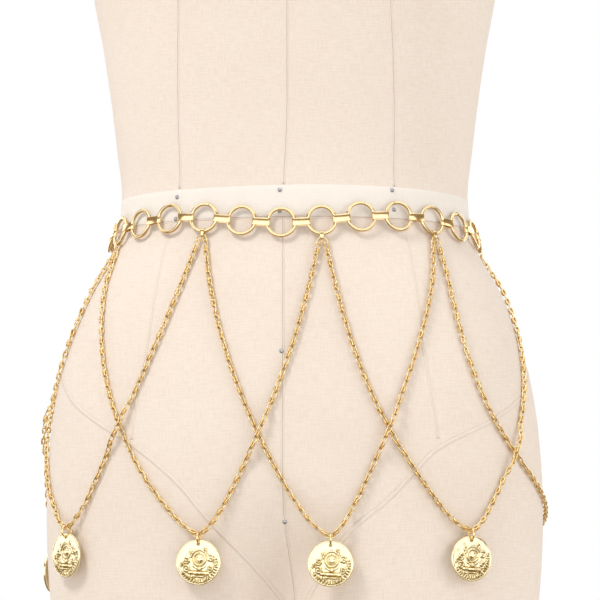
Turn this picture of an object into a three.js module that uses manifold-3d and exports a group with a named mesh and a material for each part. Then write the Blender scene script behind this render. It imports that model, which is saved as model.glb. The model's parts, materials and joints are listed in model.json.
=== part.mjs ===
// A gold coin chain belt, laid round the waist of a limbless tailor's dress form.
// Sizes are in millimetres, +Z is up and the front faces -Y. The origin is the middle of the form's underside.
import * as THREE from "three";
import { mergeVertices } from "three/addons/utils/BufferGeometryUtils.js";
import Module from "manifold-3d";

const wasm = await Module();
wasm.setup();

// The form: a row for each level, with how many bands of facets lie between it and the next one.
// half is the half width, front and back are the depths either side of the widest line.
const FORM_SECTIONS = [
  { z: 0, half: 164, front: 101, back: 97, power: 2.3, bands: 1 },
  { z: 8, half: 168.5, front: 105.5, back: 101.5, power: 2.3, bands: 1 },
  { z: 60, half: 176, front: 112, back: 109, power: 2.3, bands: 1 },
  { z: 120, half: 181, front: 116, back: 114, power: 2.3, bands: 1 },
  { z: 180, half: 180.5, front: 118, back: 115, power: 2.3, bands: 2 },
  { z: 240, half: 173, front: 116, back: 107, power: 2.25, bands: 3 },
  { z: 300, half: 154, front: 107.5, back: 90, power: 2.15, bands: 3 },
  { z: 345, half: 131.5, front: 98, back: 74, power: 2.1, bands: 2 },
  { z: 375, half: 128, front: 96, back: 72, power: 2.1, bands: 1 },
  { z: 410, half: 131.5, front: 99, back: 76, power: 2.15, bands: 2 },
  { z: 480, half: 141, front: 112, back: 84, power: 2.2, bands: 1 },
  { z: 540, half: 152, front: 124, back: 90, power: 2.2, bands: 1 },
  { z: 600, half: 160, front: 119, back: 96, power: 2.2, bands: 1 },
  { z: 640, half: 169, front: 103, back: 97, power: 2.2, bands: 1 },
  { z: 672, half: 173, front: 86, back: 92, power: 2.2, bands: 1 },
  { z: 694, half: 160, front: 74, back: 84, power: 2.15, bands: 1 },
  { z: 714, half: 124, front: 64, back: 74, power: 2.1, bands: 1 },
  { z: 732, half: 86, front: 56, back: 64, power: 2.05, bands: 1 },
  { z: 752, half: 63, front: 51, back: 57, power: 2.0, bands: 1 },
  { z: 780, half: 56, front: 50, back: 54, power: 2.0, bands: 1 },
  { z: 804, half: 54.5, front: 49, back: 53, power: 2.0, bands: 1 },
  { z: 812, half: 49, front: 44, back: 48, power: 2.0, bands: 0 },
];
const FORM_SIDES = 32;

// The belt's ring links: round wire, joined by folded strip clips, and laid level but for a gentle wave.
const RING_RADIUS = 9.9;
const WIRE_RADIUS = 1.1;
const RING_STEPS = 14;
const WIRE_SIDES = 5;
const RING_COUNT = 25;
const RING_PITCH = 28.5;
const FRONT_RING = 13;
const FRONT_ANGLE = -0.022;
const BELT_LEVEL = 348.2;
const BELT_WAVE = 3;
const RING_STANDOFF = 3.7;

// A clip: a strip folded round the wires of two rings, fast to the first and loose round the second.
const CLIP_HEIGHT = 5.2;
const CLIP_HOLE = 1.75;
const CLIP_WALL = 0.5;
const CLIP_SLACK = 0.9;
const STRIP_ARC_STEPS = 3;

// The clasp at the back: a strip hook that holds the last ring and hooks the first one.
const CLASP_WALL = 0.8;
const CLASP_BEND = 2.05;
const CLASP_SLACK = 0.6;
const CLASP_BACK_SHARE = 0.4;
const CLASP_TIP = 1.2;
const CLASP_ARC_STEPS = 5;

// A hanger: a small strip loop over the bottom of every third ring, which carries the chains.
const HANGER_RINGS = [2, 5, 8, 11, 14, 17, 20, 23];
const HANGER_WIDTH = 3;
const HANGER_HOLE = 1.65;
const HANGER_WALL = 0.45;
const HANGER_TOP = 9.8;
const HANGER_BOTTOM = 12.6;

// A swag: one chain that hangs in a V from a hanger to the next but one, with a coin at its bottom.
const SWAG_LINKS = 44;
const VEE_ROUND = 0.1;
const LEAN_SCALE = 9.48;
const SWAG_END_GAP = 1.2;
const SWAG_END_SIDE = 2.3;
const CHAIN_STANDOFF = 2.1;
const CHAIN_LIFT = 3.1;
const LIFT_FLAT = 9;
const LIFT_RAMP = 24;
const PENDANT_STANDOFF = 5.3;
const PENDANT_RAMP = 30;
const LINK_HALF = { width: 2.1, thickness: 0.85 };
const JOINT_HALF = { width: 0.9, thickness: 1.3 };
const LAST_LINK_HALF = { width: 0.55, thickness: 0.55 };
const LAST_LINK_REACH = 2;

// Each swag's chain length, how far its bottom has slid round the form from the middle of its ends, in
// radians, and the shape of its left and right sides. Of a side's height, the share vee climbs evenly from
// the bottom and the rest climbs with the power curve. The share lean moves its upper part sideways.
const SWAGS = [
  {
    length: 517,
    slide: 0.197,
    left: { vee: 0.7, curve: 4, lean: 0 },
    right: { vee: 0.7, curve: 4, lean: 0 },
  },
  {
    length: 483,
    slide: 0.086,
    left: { vee: 0.7, curve: 3, lean: -0.05 },
    right: { vee: 0.76, curve: 4.3, lean: -0.02 },
  },
  {
    length: 471.5,
    slide: 0.028,
    left: { vee: 0.54, curve: 3.6, lean: -0.08 },
    right: { vee: 0.77, curve: 4.4, lean: -0.02 },
  },
  {
    length: 472,
    slide: 0.06,
    left: { vee: 0.54, curve: 2.5, lean: 0 },
    right: { vee: 0.83, curve: 7.2, lean: -0.088 },
  },
  {
    length: 476.5,
    slide: 0.002,
    left: { vee: 0.63, curve: 6.6, lean: -0.035 },
    right: { vee: 0.95, curve: 1.5, lean: -0.012 },
  },
  {
    length: 546,
    slide: 0.27,
    left: { vee: 0.25, curve: 3.9, lean: 0.21 },
    right: { vee: 0.7, curve: 4, lean: 0 },
  },
];

// A pendant: a jump ring through the bottom link, and a coin with a raised boss and ring on its face.
const JUMP_RADIUS = 4;
const JUMP_WIRE = 0.5;
const JUMP_GAP = 0.4;
const JUMP_STEPS = 12;
const COIN_RADIUS = 15.9;
const COIN_HALF_THICKNESS = 1;
const COIN_SIDES = 16;
const COIN_HOLE_RADIUS = 1.4;
const COIN_HOLE_SAG = 0.25;
const COIN_HOLE_INSET = 3.3;
const COIN_FACE = [
  { radius: COIN_RADIUS, height: 0.5 },
  { radius: 15.3, height: 1 },
  { radius: 14.3, height: 0.6 },
  { radius: 7, height: 0.7 },
  { radius: 5.4, height: 1.4 },
  { radius: 3.2, height: 1.7 },
  { radius: 0, height: 2.2 },
];

const UP = new THREE.Vector3(0, 0, 1);

// In a ring's own frame, the way down the form and the way out from it
const DOWN = new THREE.Vector3(0, -1, 0);
const OUT = new THREE.Vector3(0, 0, 1);

// Linen of the form
function linen() {
  return new THREE.MeshStandardMaterial({ color: 0xeadcca, roughness: 0.9, metalness: 0 });
}

// Polished gold plate
function gold() {
  return new THREE.MeshStandardMaterial({ color: 0xe0b964, roughness: 0.22, metalness: 1 });
}

// The slope of one column of the form's table at row i, as a mean of the slopes either side.
function columnSlope(i, column) {
  const rows = FORM_SECTIONS;
  const rise = (a, b) => (rows[b][column] - rows[a][column]) / (rows[b].z - rows[a].z);
  if (i === 0) return rise(0, 1);
  if (i === rows.length - 1) return rise(i - 1, i);
  const below = rows[i].z - rows[i - 1].z;
  const above = rows[i + 1].z - rows[i].z;
  return (rise(i - 1, i) * above + rise(i, i + 1) * below) / (below + above);
}

// The form's section at height z, by a smooth curve through the table's rows.
function formSection(z) {
  const last = FORM_SECTIONS.length - 2;
  let i = 0;
  while (i < last && z >= FORM_SECTIONS[i + 1].z) i++;
  const low = FORM_SECTIONS[i];
  const high = FORM_SECTIONS[i + 1];
  const step = high.z - low.z;
  const t = Math.min(1, Math.max(0, (z - low.z) / step));
  const read = (column) => {
    const lowSlope = columnSlope(i, column) * step;
    const highSlope = columnSlope(i + 1, column) * step;
    return (
      low[column] * (2 * t ** 3 - 3 * t ** 2 + 1) +
      lowSlope * (t ** 3 - 2 * t ** 2 + t) +
      high[column] * (3 * t ** 2 - 2 * t ** 3) +
      highSlope * (t ** 3 - t ** 2)
    );
  };
  return { half: read("half"), front: read("front"), back: read("back"), power: read("power") };
}

// A point of the form's skin. The angle is 0 at the centre front and grows towards +X.
function skinPoint(angle, z) {
  const { half, front, back, power } = formSection(z);
  const x = Math.sin(angle);
  const y = -Math.cos(angle);
  const depth = y < 0 ? front : back;
  const radius = (Math.abs(x / half) ** power + Math.abs(y / depth) ** power) ** (-1 / power);
  return new THREE.Vector3(radius * x, radius * y, z);
}

// The skin's outward normal, from two short steps on it.
function skinNormal(angle, z) {
  const turn = 0.001;
  const rise = 0.5;
  const across = skinPoint(angle + turn, z).sub(skinPoint(angle - turn, z));
  const along = skinPoint(angle, z + rise).sub(skinPoint(angle, z - rise));
  return across.cross(along).normalize();
}

// A point held off the skin by a distance along its normal.
function offSkin(angle, z, distance) {
  return skinPoint(angle, z).addScaledVector(skinNormal(angle, z), distance);
}

// A frame that lies on the skin: X runs level round the form, Y climbs it and Z points out.
function skinFrame(angle, z, distance) {
  const out = skinNormal(angle, z);
  const across = UP.clone().cross(out).normalize();
  const climb = out.clone().cross(across);
  return new THREE.Matrix4().makeBasis(across, climb, out).setPosition(offSkin(angle, z, distance));
}

// An upright frame at the same place: X runs level, Y is straight up and Z points level outwards.
function uprightFrame(angle, position) {
  const out = skinNormal(angle, position.z).setZ(0).normalize();
  const across = UP.clone().cross(out);
  return new THREE.Matrix4().makeBasis(across, UP, out).setPosition(position);
}

// The value of t between low and high where f(t) crosses 0.
function solve(f, low, high) {
  const rising = f(high) > f(low);
  for (let i = 0; i < 60; i++) {
    const middle = (low + high) / 2;
    if (f(middle) > 0 === rising) high = middle;
    else low = middle;
  }
  return (low + high) / 2;
}

// A smooth fall from 1 at distance start to 0 at distance end.
function fade(distance, start, end) {
  return 1 - THREE.MathUtils.smoothstep(Math.abs(distance), start, end);
}

// One closed body through rings of points, each ring turning anticlockwise about the way it goes.
function loft(rings) {
  const sides = rings[0].length;
  const positions = rings.flat().flatMap((p) => [p.x, p.y, p.z]);
  const faces = [];
  for (let i = 0; i + 1 < rings.length; i++) {
    for (let j = 0; j < sides; j++) {
      const a = i * sides + j;
      const b = i * sides + ((j + 1) % sides);
      faces.push(a, b, b + sides, a, b + sides, a + sides);
    }
  }
  const top = (rings.length - 1) * sides;
  for (let j = 1; j + 1 < sides; j++) {
    faces.push(0, j + 1, j);
    faces.push(top, top + j, top + j + 1);
  }
  const geometry = new THREE.BufferGeometry();
  geometry.setAttribute("position", new THREE.Float32BufferAttribute(positions, 3));
  geometry.setIndex(faces);
  return geometry;
}

// A closed geometry as a solid that can be joined and cut.
function solidOf(geometry) {
  const bare = geometry.clone();
  bare.deleteAttribute("normal");
  bare.deleteAttribute("uv");
  const merged = mergeVertices(bare, 1e-4);
  return new wasm.Manifold(
    new wasm.Mesh({
      numProp: 3,
      vertProperties: merged.attributes.position.array,
      triVerts: new Uint32Array(merged.index.array),
    }),
  );
}

// A solid's surface as a geometry.
function geometryOf(solid) {
  const { vertProperties, triVerts } = solid.getMesh();
  const geometry = new THREE.BufferGeometry();
  geometry.setAttribute("position", new THREE.BufferAttribute(vertProperties, 3));
  geometry.setIndex(new THREE.BufferAttribute(triVerts, 1));
  return geometry;
}

// A named mesh, placed by a matrix.
function piece(name, geometry, material, placement = new THREE.Matrix4()) {
  geometry.computeVertexNormals();
  const mesh = new THREE.Mesh(geometry, material);
  mesh.name = name;
  mesh.applyMatrix4(placement);
  return mesh;
}

// A number with two digits, for names that sort
function numbered(name, number) {
  return name + "_" + String(number).padStart(2, "0");
}

// The outline of two half circles on the X axis at start and end, joined by straight sides.
function loopPoints(start, end, radius) {
  const points = [];
  for (const [centre, turn] of [[end, -Math.PI / 2], [start, Math.PI / 2]]) {
    for (let i = 0; i <= STRIP_ARC_STEPS; i++) {
      const angle = turn + (Math.PI * i) / STRIP_ARC_STEPS;
      points.push(new THREE.Vector2(centre + radius * Math.cos(angle), radius * Math.sin(angle)));
    }
  }
  return points;
}

// A strip bent into a loop along X: its hole starts at holeStart, and Z runs across the strip's width.
function stripLoop({ end, holeStart, hole, wall, width }) {
  const outline = new THREE.Shape(loopPoints(0, end, hole + wall));
  outline.holes.push(new THREE.Path(loopPoints(holeStart, end, hole)));
  const geometry = new THREE.ExtrudeGeometry(outline, { depth: width, bevelEnabled: false });
  return geometry.translate(0, 0, -width / 2);
}

// The dress form's body: a torso from the hips to the neck, flat below.
function formBody() {
  const levels = FORM_SECTIONS.flatMap(({ z, bands }, i) =>
    bands === 0 ? [z] : Array.from({ length: bands }, (_, j) => z + ((FORM_SECTIONS[i + 1].z - z) * j) / bands),
  );
  const rings = levels.map((z) =>
    Array.from({ length: FORM_SIDES }, (_, j) => skinPoint((2 * Math.PI * j) / FORM_SIDES, z)),
  );
  return piece("dress_form", loft(rings), linen());
}

// The height of the belt's line round the form
function beltHeight(angle) {
  return BELT_LEVEL - BELT_WAVE * Math.cos(4 * angle);
}

function beltPoint(angle) {
  return offSkin(angle, beltHeight(angle), RING_STANDOFF);
}

// The angles of the rings, each one pitch from the last, worked out both ways from the front one.
function ringAngles() {
  const angles = [];
  angles[FRONT_RING] = FRONT_ANGLE;
  const next = (angle, way) => {
    const here = beltPoint(angle);
    return solve((a) => beltPoint(a).distanceTo(here) - RING_PITCH, angle + 0.05 * way, angle + 0.7 * way);
  };
  for (let k = FRONT_RING + 1; k <= RING_COUNT; k++) angles[k] = next(angles[k - 1], 1);
  for (let k = FRONT_RING - 1; k >= 1; k--) angles[k] = next(angles[k + 1], -1);
  return angles;
}

const RING_ANGLES = ringAngles();

// A ring's frame lies on the skin and its X follows the belt's line.
function ringFrame(angle) {
  const turn = 0.01;
  const out = skinNormal(angle, beltHeight(angle));
  const line = beltPoint(angle + turn).sub(beltPoint(angle - turn));
  const across = line.addScaledVector(out, -line.dot(out)).normalize();
  const climb = out.clone().cross(across);
  return new THREE.Matrix4().makeBasis(across, climb, out).setPosition(beltPoint(angle));
}

const RING_FRAMES = RING_ANGLES.map((angle) => ringFrame(angle));
const HANGER_FRAMES = RING_ANGLES.map((angle) => skinFrame(angle, beltHeight(angle), RING_STANDOFF));

// The middle of a ring's wire at its side, where a clip holds it: side is 1 towards +angle, else -1.
function ringSide(number, side) {
  return new THREE.Vector3(side * RING_RADIUS, 0, 0).applyMatrix4(RING_FRAMES[number]);
}

// The frame of the piece between two rings: X from one wire to the other, Y out and Z down the strip's width.
function jointFrame(from, to) {
  const start = ringSide(from, 1);
  const end = ringSide(to, -1);
  const along = end.clone().sub(start).normalize();
  const mean = new THREE.Vector3().setFromMatrixColumn(RING_FRAMES[from], 2);
  mean.add(new THREE.Vector3().setFromMatrixColumn(RING_FRAMES[to], 2));
  const width = along.clone().cross(mean).normalize();
  const out = width.clone().cross(along);
  const frame = new THREE.Matrix4().makeBasis(along, out, width).setPosition(start);
  return { frame, reach: start.distanceTo(end) };
}

// A ring link: the wire ring with its clip, whose far loop holds the next ring.
function link(number) {
  const ring = new THREE.TorusGeometry(RING_RADIUS, WIRE_RADIUS, WIRE_SIDES, RING_STEPS);
  const name = numbered("link", number);
  if (number === RING_COUNT) return piece(name, geometryOf(solidOf(ring)), gold(), RING_FRAMES[number]);
  const { frame, reach } = jointFrame(number, number + 1);
  const clip = stripLoop({
    end: reach + CLIP_SLACK,
    holeStart: WIRE_RADIUS + CLIP_WALL + CLIP_HOLE,
    hole: CLIP_HOLE,
    wall: CLIP_WALL,
    width: CLIP_HEIGHT,
  });
  clip.applyMatrix4(RING_FRAMES[number].clone().invert().multiply(frame));
  return piece(name, geometryOf(solidOf(ring).add(solidOf(clip))), gold(), RING_FRAMES[number]);
}

// The clasp: seen from above, a strip that turns back round both wires and leaves a mouth on the inside.
function clasp() {
  const { frame, reach } = jointFrame(RING_COUNT, 1);
  const inner = CLASP_BEND - CLASP_WALL / 2;
  const outer = CLASP_BEND + CLASP_WALL / 2;
  const half = Math.PI / 2;
  const strip = new THREE.Shape();
  strip.moveTo(CLASP_BACK_SHARE * reach, -outer);
  strip.lineTo(CLASP_BACK_SHARE * reach, -inner);
  strip.absarc(-CLASP_SLACK, 0, inner, -half, half, true);
  strip.absarc(reach + CLASP_SLACK, 0, inner, half, -half, true);
  strip.lineTo(reach - CLASP_TIP, -inner);
  strip.lineTo(reach - CLASP_TIP, -outer);
  strip.absarc(reach + CLASP_SLACK, 0, outer, -half, half, false);
  strip.absarc(-CLASP_SLACK, 0, outer, half, 3 * half, false);
  strip.closePath();
  const geometry = new THREE.ExtrudeGeometry(strip, {
    depth: CLIP_HEIGHT,
    bevelEnabled: false,
    curveSegments: CLASP_ARC_STEPS,
  });
  geometry.translate(0, 0, -CLIP_HEIGHT / 2);
  return piece("clasp", geometryOf(solidOf(geometry)), gold(), frame);
}

// A hanger: a loop that drops from the bottom of the ring's wire, with its strip running across the belt.
function hanger(number) {
  const loop = stripLoop({
    end: HANGER_BOTTOM - HANGER_TOP,
    holeStart: 0,
    hole: HANGER_HOLE,
    wall: HANGER_WALL,
    width: HANGER_WIDTH,
  });
  const drop = new THREE.Matrix4().makeBasis(DOWN, OUT, DOWN.clone().cross(OUT));
  loop.applyMatrix4(drop.setPosition(0, -HANGER_TOP, 0));
  return piece(numbered("hanger", number), geometryOf(solidOf(loop)), gold(), HANGER_FRAMES[number]);
}

// Where a chain starts below a hanger: its height and how far the hanger's foot stands off the skin.
function chainEnd(number, side) {
  const angle = RING_ANGLES[number];
  const depth = HANGER_BOTTOM + HANGER_HOLE + HANGER_WALL + SWAG_END_GAP;
  const foot = new THREE.Vector3(0, -depth, 0).applyMatrix4(HANGER_FRAMES[number]);
  const standoff = foot.clone().sub(skinPoint(angle, foot.z)).dot(skinNormal(angle, foot.z));
  const turn = (side * SWAG_END_SIDE) / foot.clone().setZ(0).length();
  return { angle: angle + turn, z: foot.z, standoff };
}

// The climb of a swag's side, from 0 at its bottom to 1 at its end.
function climb({ vee, curve }, share) {
  const even = (Math.hypot(share, VEE_ROUND) - VEE_ROUND) / (Math.hypot(1, VEE_ROUND) - VEE_ROUND);
  return vee * even + (1 - vee) * share ** curve;
}

// How far a swag's side has gone round the form, from 0 at its bottom to 1 at its end.
function reachRound({ lean }, share) {
  return share + LEAN_SCALE * lean * share ** 3 * (1 - share);
}

// The V of a swag on the skin, for u from -1 at its left end to 1 at its right end, and 0 at its bottom.
function swagLine(from, to, swag) {
  const left = { ...chainEnd(from, 1), shape: swag.left };
  const right = { ...chainEnd(to, -1), shape: swag.right };
  const middle = (left.angle + right.angle) / 2 + swag.slide;
  const end = (u) => (u < 0 ? left : right);
  const spot = (u, low) => {
    const { angle, z, shape } = end(u);
    const share = Math.abs(u);
    return {
      angle: middle + (angle - middle) * reachRound(shape, share),
      z: low + (z - low) * climb(shape, share),
    };
  };
  const steps = 120;
  const length = (low) => {
    let sum = 0;
    let last = null;
    for (let i = 0; i <= steps; i++) {
      const { angle, z } = spot((2 * i) / steps - 1, low);
      const point = offSkin(angle, z, CHAIN_STANDOFF);
      if (last) sum += point.distanceTo(last);
      last = point;
    }
    return sum;
  };
  const goal = swag.length;
  const low = solve((z) => length(z) - goal, end(0).z - goal / 2, end(0).z - goal / 4);
  return { middle, end, spot: (u) => spot(u, low) };
}

const SWAG_LINES = SWAGS.map((swag, i) => swagLine(HANGER_RINGS[i], HANGER_RINGS[i + 2], swag));

// Where the right side of a swag meets the left side of the next one, as this swag's u, or null at the last.
function crossing(index) {
  const here = SWAG_LINES[index];
  const next = SWAG_LINES[index + 1];
  if (!next) return null;
  const nextAngle = (z) => next.spot(solve((u) => next.spot(u).z - z, -1, 0)).angle;
  return solve((u) => here.spot(u).angle - nextAngle(here.spot(u).z), 0.05, 0.95);
}

// The swag's middle line as points spaced evenly on each side, with the number of the bottom one.
function chainPoints(index) {
  const line = SWAG_LINES[index];
  const crossed = crossing(index);
  const fine = 1200;
  const track = [];
  let run = 0;
  let last = null;
  for (let i = 0; i <= fine; i++) {
    const u = (2 * i) / fine - 1;
    const { angle, z } = line.spot(u);
    const point = skinPoint(angle, z);
    if (last) run += point.distanceTo(last);
    track.push({ u, run });
    last = point;
  }
  const runAt = (u) => track[Math.round(((u + 1) / 2) * fine)].run;
  const low = runAt(0);
  const count = 2 * SWAG_LINKS;
  const bottom = 2 * Math.round((SWAG_LINKS * low) / run);
  const points = Array.from({ length: count + 1 }, (_, k) => {
    const goal = k < bottom ? (low * k) / bottom : low + ((run - low) * (k - bottom)) / (count - bottom);
    const { u } = track.find((t) => t.run >= goal - 1e-6);
    const { angle, z } = line.spot(u);
    const fromEnd = Math.min(goal, run - goal);
    let standoff = CHAIN_STANDOFF;
    standoff += (line.end(u).standoff - CHAIN_STANDOFF) * fade(fromEnd, 0, PENDANT_RAMP);
    standoff += (PENDANT_STANDOFF - CHAIN_STANDOFF) * fade(goal - low, 1, PENDANT_RAMP);
    if (crossed !== null) standoff += CHAIN_LIFT * fade(goal - runAt(crossed), LIFT_FLAT, LIFT_RAMP);
    return { point: offSkin(angle, z, standoff), out: skinNormal(angle, z) };
  });
  return { points, bottom };
}

// A swag's chain as a band that is wide at each long link and narrow at each round one between them.
// The bottom link is a short straight wire, which the jump ring hangs on.
function swag(index) {
  const { points, bottom } = chainPoints(index);
  const section = (k, size, shift) => {
    const { point, out } = points[k];
    const before = points[Math.max(0, k - 1)].point;
    const after = points[Math.min(points.length - 1, k + 1)].point;
    const along = after.clone().sub(before).normalize();
    const side = out.clone().cross(along).normalize();
    const face = along.clone().cross(side);
    const corners = [[1, 1], [-1, 1], [-1, -1], [1, -1]];
    return corners.map(([s, f]) =>
      point
        .clone()
        .addScaledVector(along, shift)
        .addScaledVector(side, s * size.width)
        .addScaledVector(face, f * size.thickness),
    );
  };
  const rings = points.flatMap((_, k) => {
    if (k !== bottom) return [section(k, k % 2 ? LINK_HALF : JOINT_HALF, 0)];
    return [section(k, LAST_LINK_HALF, -LAST_LINK_REACH), section(k, LAST_LINK_HALF, LAST_LINK_REACH)];
  });
  return piece("swag_" + (index + 1), loft(rings), gold());
}

// The frame of a pendant at the middle of a swag's bottom link
function pendantFrame(index) {
  const { points, bottom } = chainPoints(index);
  return uprightFrame(SWAG_LINES[index].middle, points[bottom].point);
}

const JUMP_DROP = JUMP_RADIUS - JUMP_WIRE - JUMP_GAP - LAST_LINK_HALF.thickness;

// A jump ring that stands square to the coin's face and hangs on the bottom link
function jumpRing(index) {
  const ring = new THREE.TorusGeometry(JUMP_RADIUS, JUMP_WIRE, WIRE_SIDES, JUMP_STEPS);
  ring.rotateY(Math.PI / 2).translate(0, -JUMP_DROP, 0);
  return piece("jump_ring_" + (index + 1), geometryOf(solidOf(ring)), gold(), pendantFrame(index));
}

// A coin, with its own origin in the jump ring's wire, where it hangs
function coin(index) {
  const rim = COIN_HALF_THICKNESS / 2;
  const profile = [
    new THREE.Vector2(0, -COIN_HALF_THICKNESS),
    new THREE.Vector2(COIN_RADIUS - rim, -COIN_HALF_THICKNESS),
    new THREE.Vector2(COIN_RADIUS, -rim),
    ...COIN_FACE.map(({ radius, height }) => new THREE.Vector2(radius, height)),
  ];
  const centre = COIN_RADIUS - COIN_HOLE_INSET + COIN_HOLE_SAG;
  const disc = new THREE.LatheGeometry(profile, COIN_SIDES);
  disc.rotateX(Math.PI / 2).translate(0, -centre, 0);
  const hole = new THREE.CylinderGeometry(COIN_HOLE_RADIUS, COIN_HOLE_RADIUS, 4 * COIN_HALF_THICKNESS, 8);
  hole.rotateX(Math.PI / 2).translate(0, -COIN_HOLE_SAG, 0);
  const placement = pendantFrame(index);
  placement.multiply(new THREE.Matrix4().makeTranslation(0, -JUMP_DROP - JUMP_RADIUS, 0));
  return piece("coin_" + (index + 1), geometryOf(solidOf(disc).subtract(solidOf(hole))), gold(), placement);
}

const part = new THREE.Group();
part.add(formBody());
for (let number = 1; number <= RING_COUNT; number++) part.add(link(number));
part.add(clasp());
for (const number of HANGER_RINGS) part.add(hanger(number));
SWAG_LINES.forEach((_, index) => {
  part.add(swag(index));
  part.add(jumpRing(index));
  part.add(coin(index));
});

export default part;
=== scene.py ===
"""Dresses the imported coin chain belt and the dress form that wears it.

Sizes in the classes are millimetres, as in the part's source, and each mesh is scaled to metres when it is
finished. Angles round the form are radians, 0 at the centre front and growing towards +X.
"""

import json
import logging
import math
import random
from collections.abc import Callable, Iterable, Sequence
from dataclasses import dataclass, field
from enum import Enum
from functools import partial

import bmesh
import bpy
from mathutils import Matrix, Vector

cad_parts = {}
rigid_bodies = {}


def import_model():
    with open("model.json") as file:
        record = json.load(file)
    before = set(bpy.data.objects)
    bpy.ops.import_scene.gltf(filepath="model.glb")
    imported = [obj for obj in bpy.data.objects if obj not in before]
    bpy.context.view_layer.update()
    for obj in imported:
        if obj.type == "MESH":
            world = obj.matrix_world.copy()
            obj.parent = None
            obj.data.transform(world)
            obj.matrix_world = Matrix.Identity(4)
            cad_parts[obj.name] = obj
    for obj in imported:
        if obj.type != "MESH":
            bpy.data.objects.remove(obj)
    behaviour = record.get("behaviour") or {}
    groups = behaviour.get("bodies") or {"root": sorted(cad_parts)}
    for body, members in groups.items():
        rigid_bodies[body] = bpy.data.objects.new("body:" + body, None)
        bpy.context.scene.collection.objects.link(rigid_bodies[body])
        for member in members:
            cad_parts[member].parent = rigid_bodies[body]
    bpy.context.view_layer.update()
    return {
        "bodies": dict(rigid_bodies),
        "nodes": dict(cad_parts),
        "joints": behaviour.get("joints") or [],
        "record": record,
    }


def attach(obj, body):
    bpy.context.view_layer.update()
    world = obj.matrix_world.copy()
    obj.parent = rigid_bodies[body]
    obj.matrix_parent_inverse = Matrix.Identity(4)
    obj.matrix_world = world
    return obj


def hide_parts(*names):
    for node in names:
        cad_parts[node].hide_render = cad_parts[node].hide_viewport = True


LOG = logging.getLogger("coin_belt")
MM = 0.001
UP = Vector((0.0, 0.0, 1.0))
ROOT_BODY = "form_and_belt"
VEE_ROUND = 0.1
LEAN_SCALE = 9.48
GOLD_SLOT = "gold_plate"
LINEN_SLOT = "linen"
BUMP_REACH = 0.0004
SHARP_TURN = 1.2
Colour = tuple[float, float, float]
Route = tuple[tuple[float, float], ...]


# ---- The form's skin, repeated from the part's source ----


@dataclass(frozen=True)
class Section:
    """One level of the form: its half width, its depths either side of that line and its power."""

    z: float
    half: float
    front: float
    back: float
    power: float


FORM_SECTIONS: tuple[Section, ...] = (
    Section(0, 164, 101, 97, 2.3),
    Section(8, 168.5, 105.5, 101.5, 2.3),
    Section(60, 176, 112, 109, 2.3),
    Section(120, 181, 116, 114, 2.3),
    Section(180, 180.5, 118, 115, 2.3),
    Section(240, 173, 116, 107, 2.25),
    Section(300, 154, 107.5, 90, 2.15),
    Section(345, 131.5, 98, 74, 2.1),
    Section(375, 128, 96, 72, 2.1),
    Section(410, 131.5, 99, 76, 2.15),
    Section(480, 141, 112, 84, 2.2),
    Section(540, 152, 124, 90, 2.2),
    Section(600, 160, 119, 96, 2.2),
    Section(640, 169, 103, 97, 2.2),
    Section(672, 173, 86, 92, 2.2),
    Section(694, 160, 74, 84, 2.15),
    Section(714, 124, 64, 74, 2.1),
    Section(732, 86, 56, 64, 2.05),
    Section(752, 63, 51, 57, 2.0),
    Section(780, 56, 50, 54, 2.0),
    Section(804, 54.5, 49, 53, 2.0),
    Section(812, 49, 44, 48, 2.0),
)


def ease(value: float) -> float:
    """A smooth step from 0 to 1 of a value held between them."""
    t = min(1.0, max(0.0, value))
    return t * t * (3.0 - 2.0 * t)


def fade(distance: float, start: float, end: float) -> float:
    """A smooth fall from 1 at distance start to 0 at distance end."""
    return 1.0 - ease((abs(distance) - start) / (end - start))


def solve(value: Callable[[float], float], low: float, high: float, steps: int = 32) -> float:
    """Finds where a function crosses 0.

    Args:
        value: The function.
        low: One end of the search.
        high: The other end.
        steps: How often the search is halved.

    Returns:
        The place of the crossing.
    """
    rising = value(high) > value(low)
    for _ in range(steps):
        middle = (low + high) / 2
        if (value(middle) > 0) == rising:
            high = middle
        else:
            low = middle
    return (low + high) / 2


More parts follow.
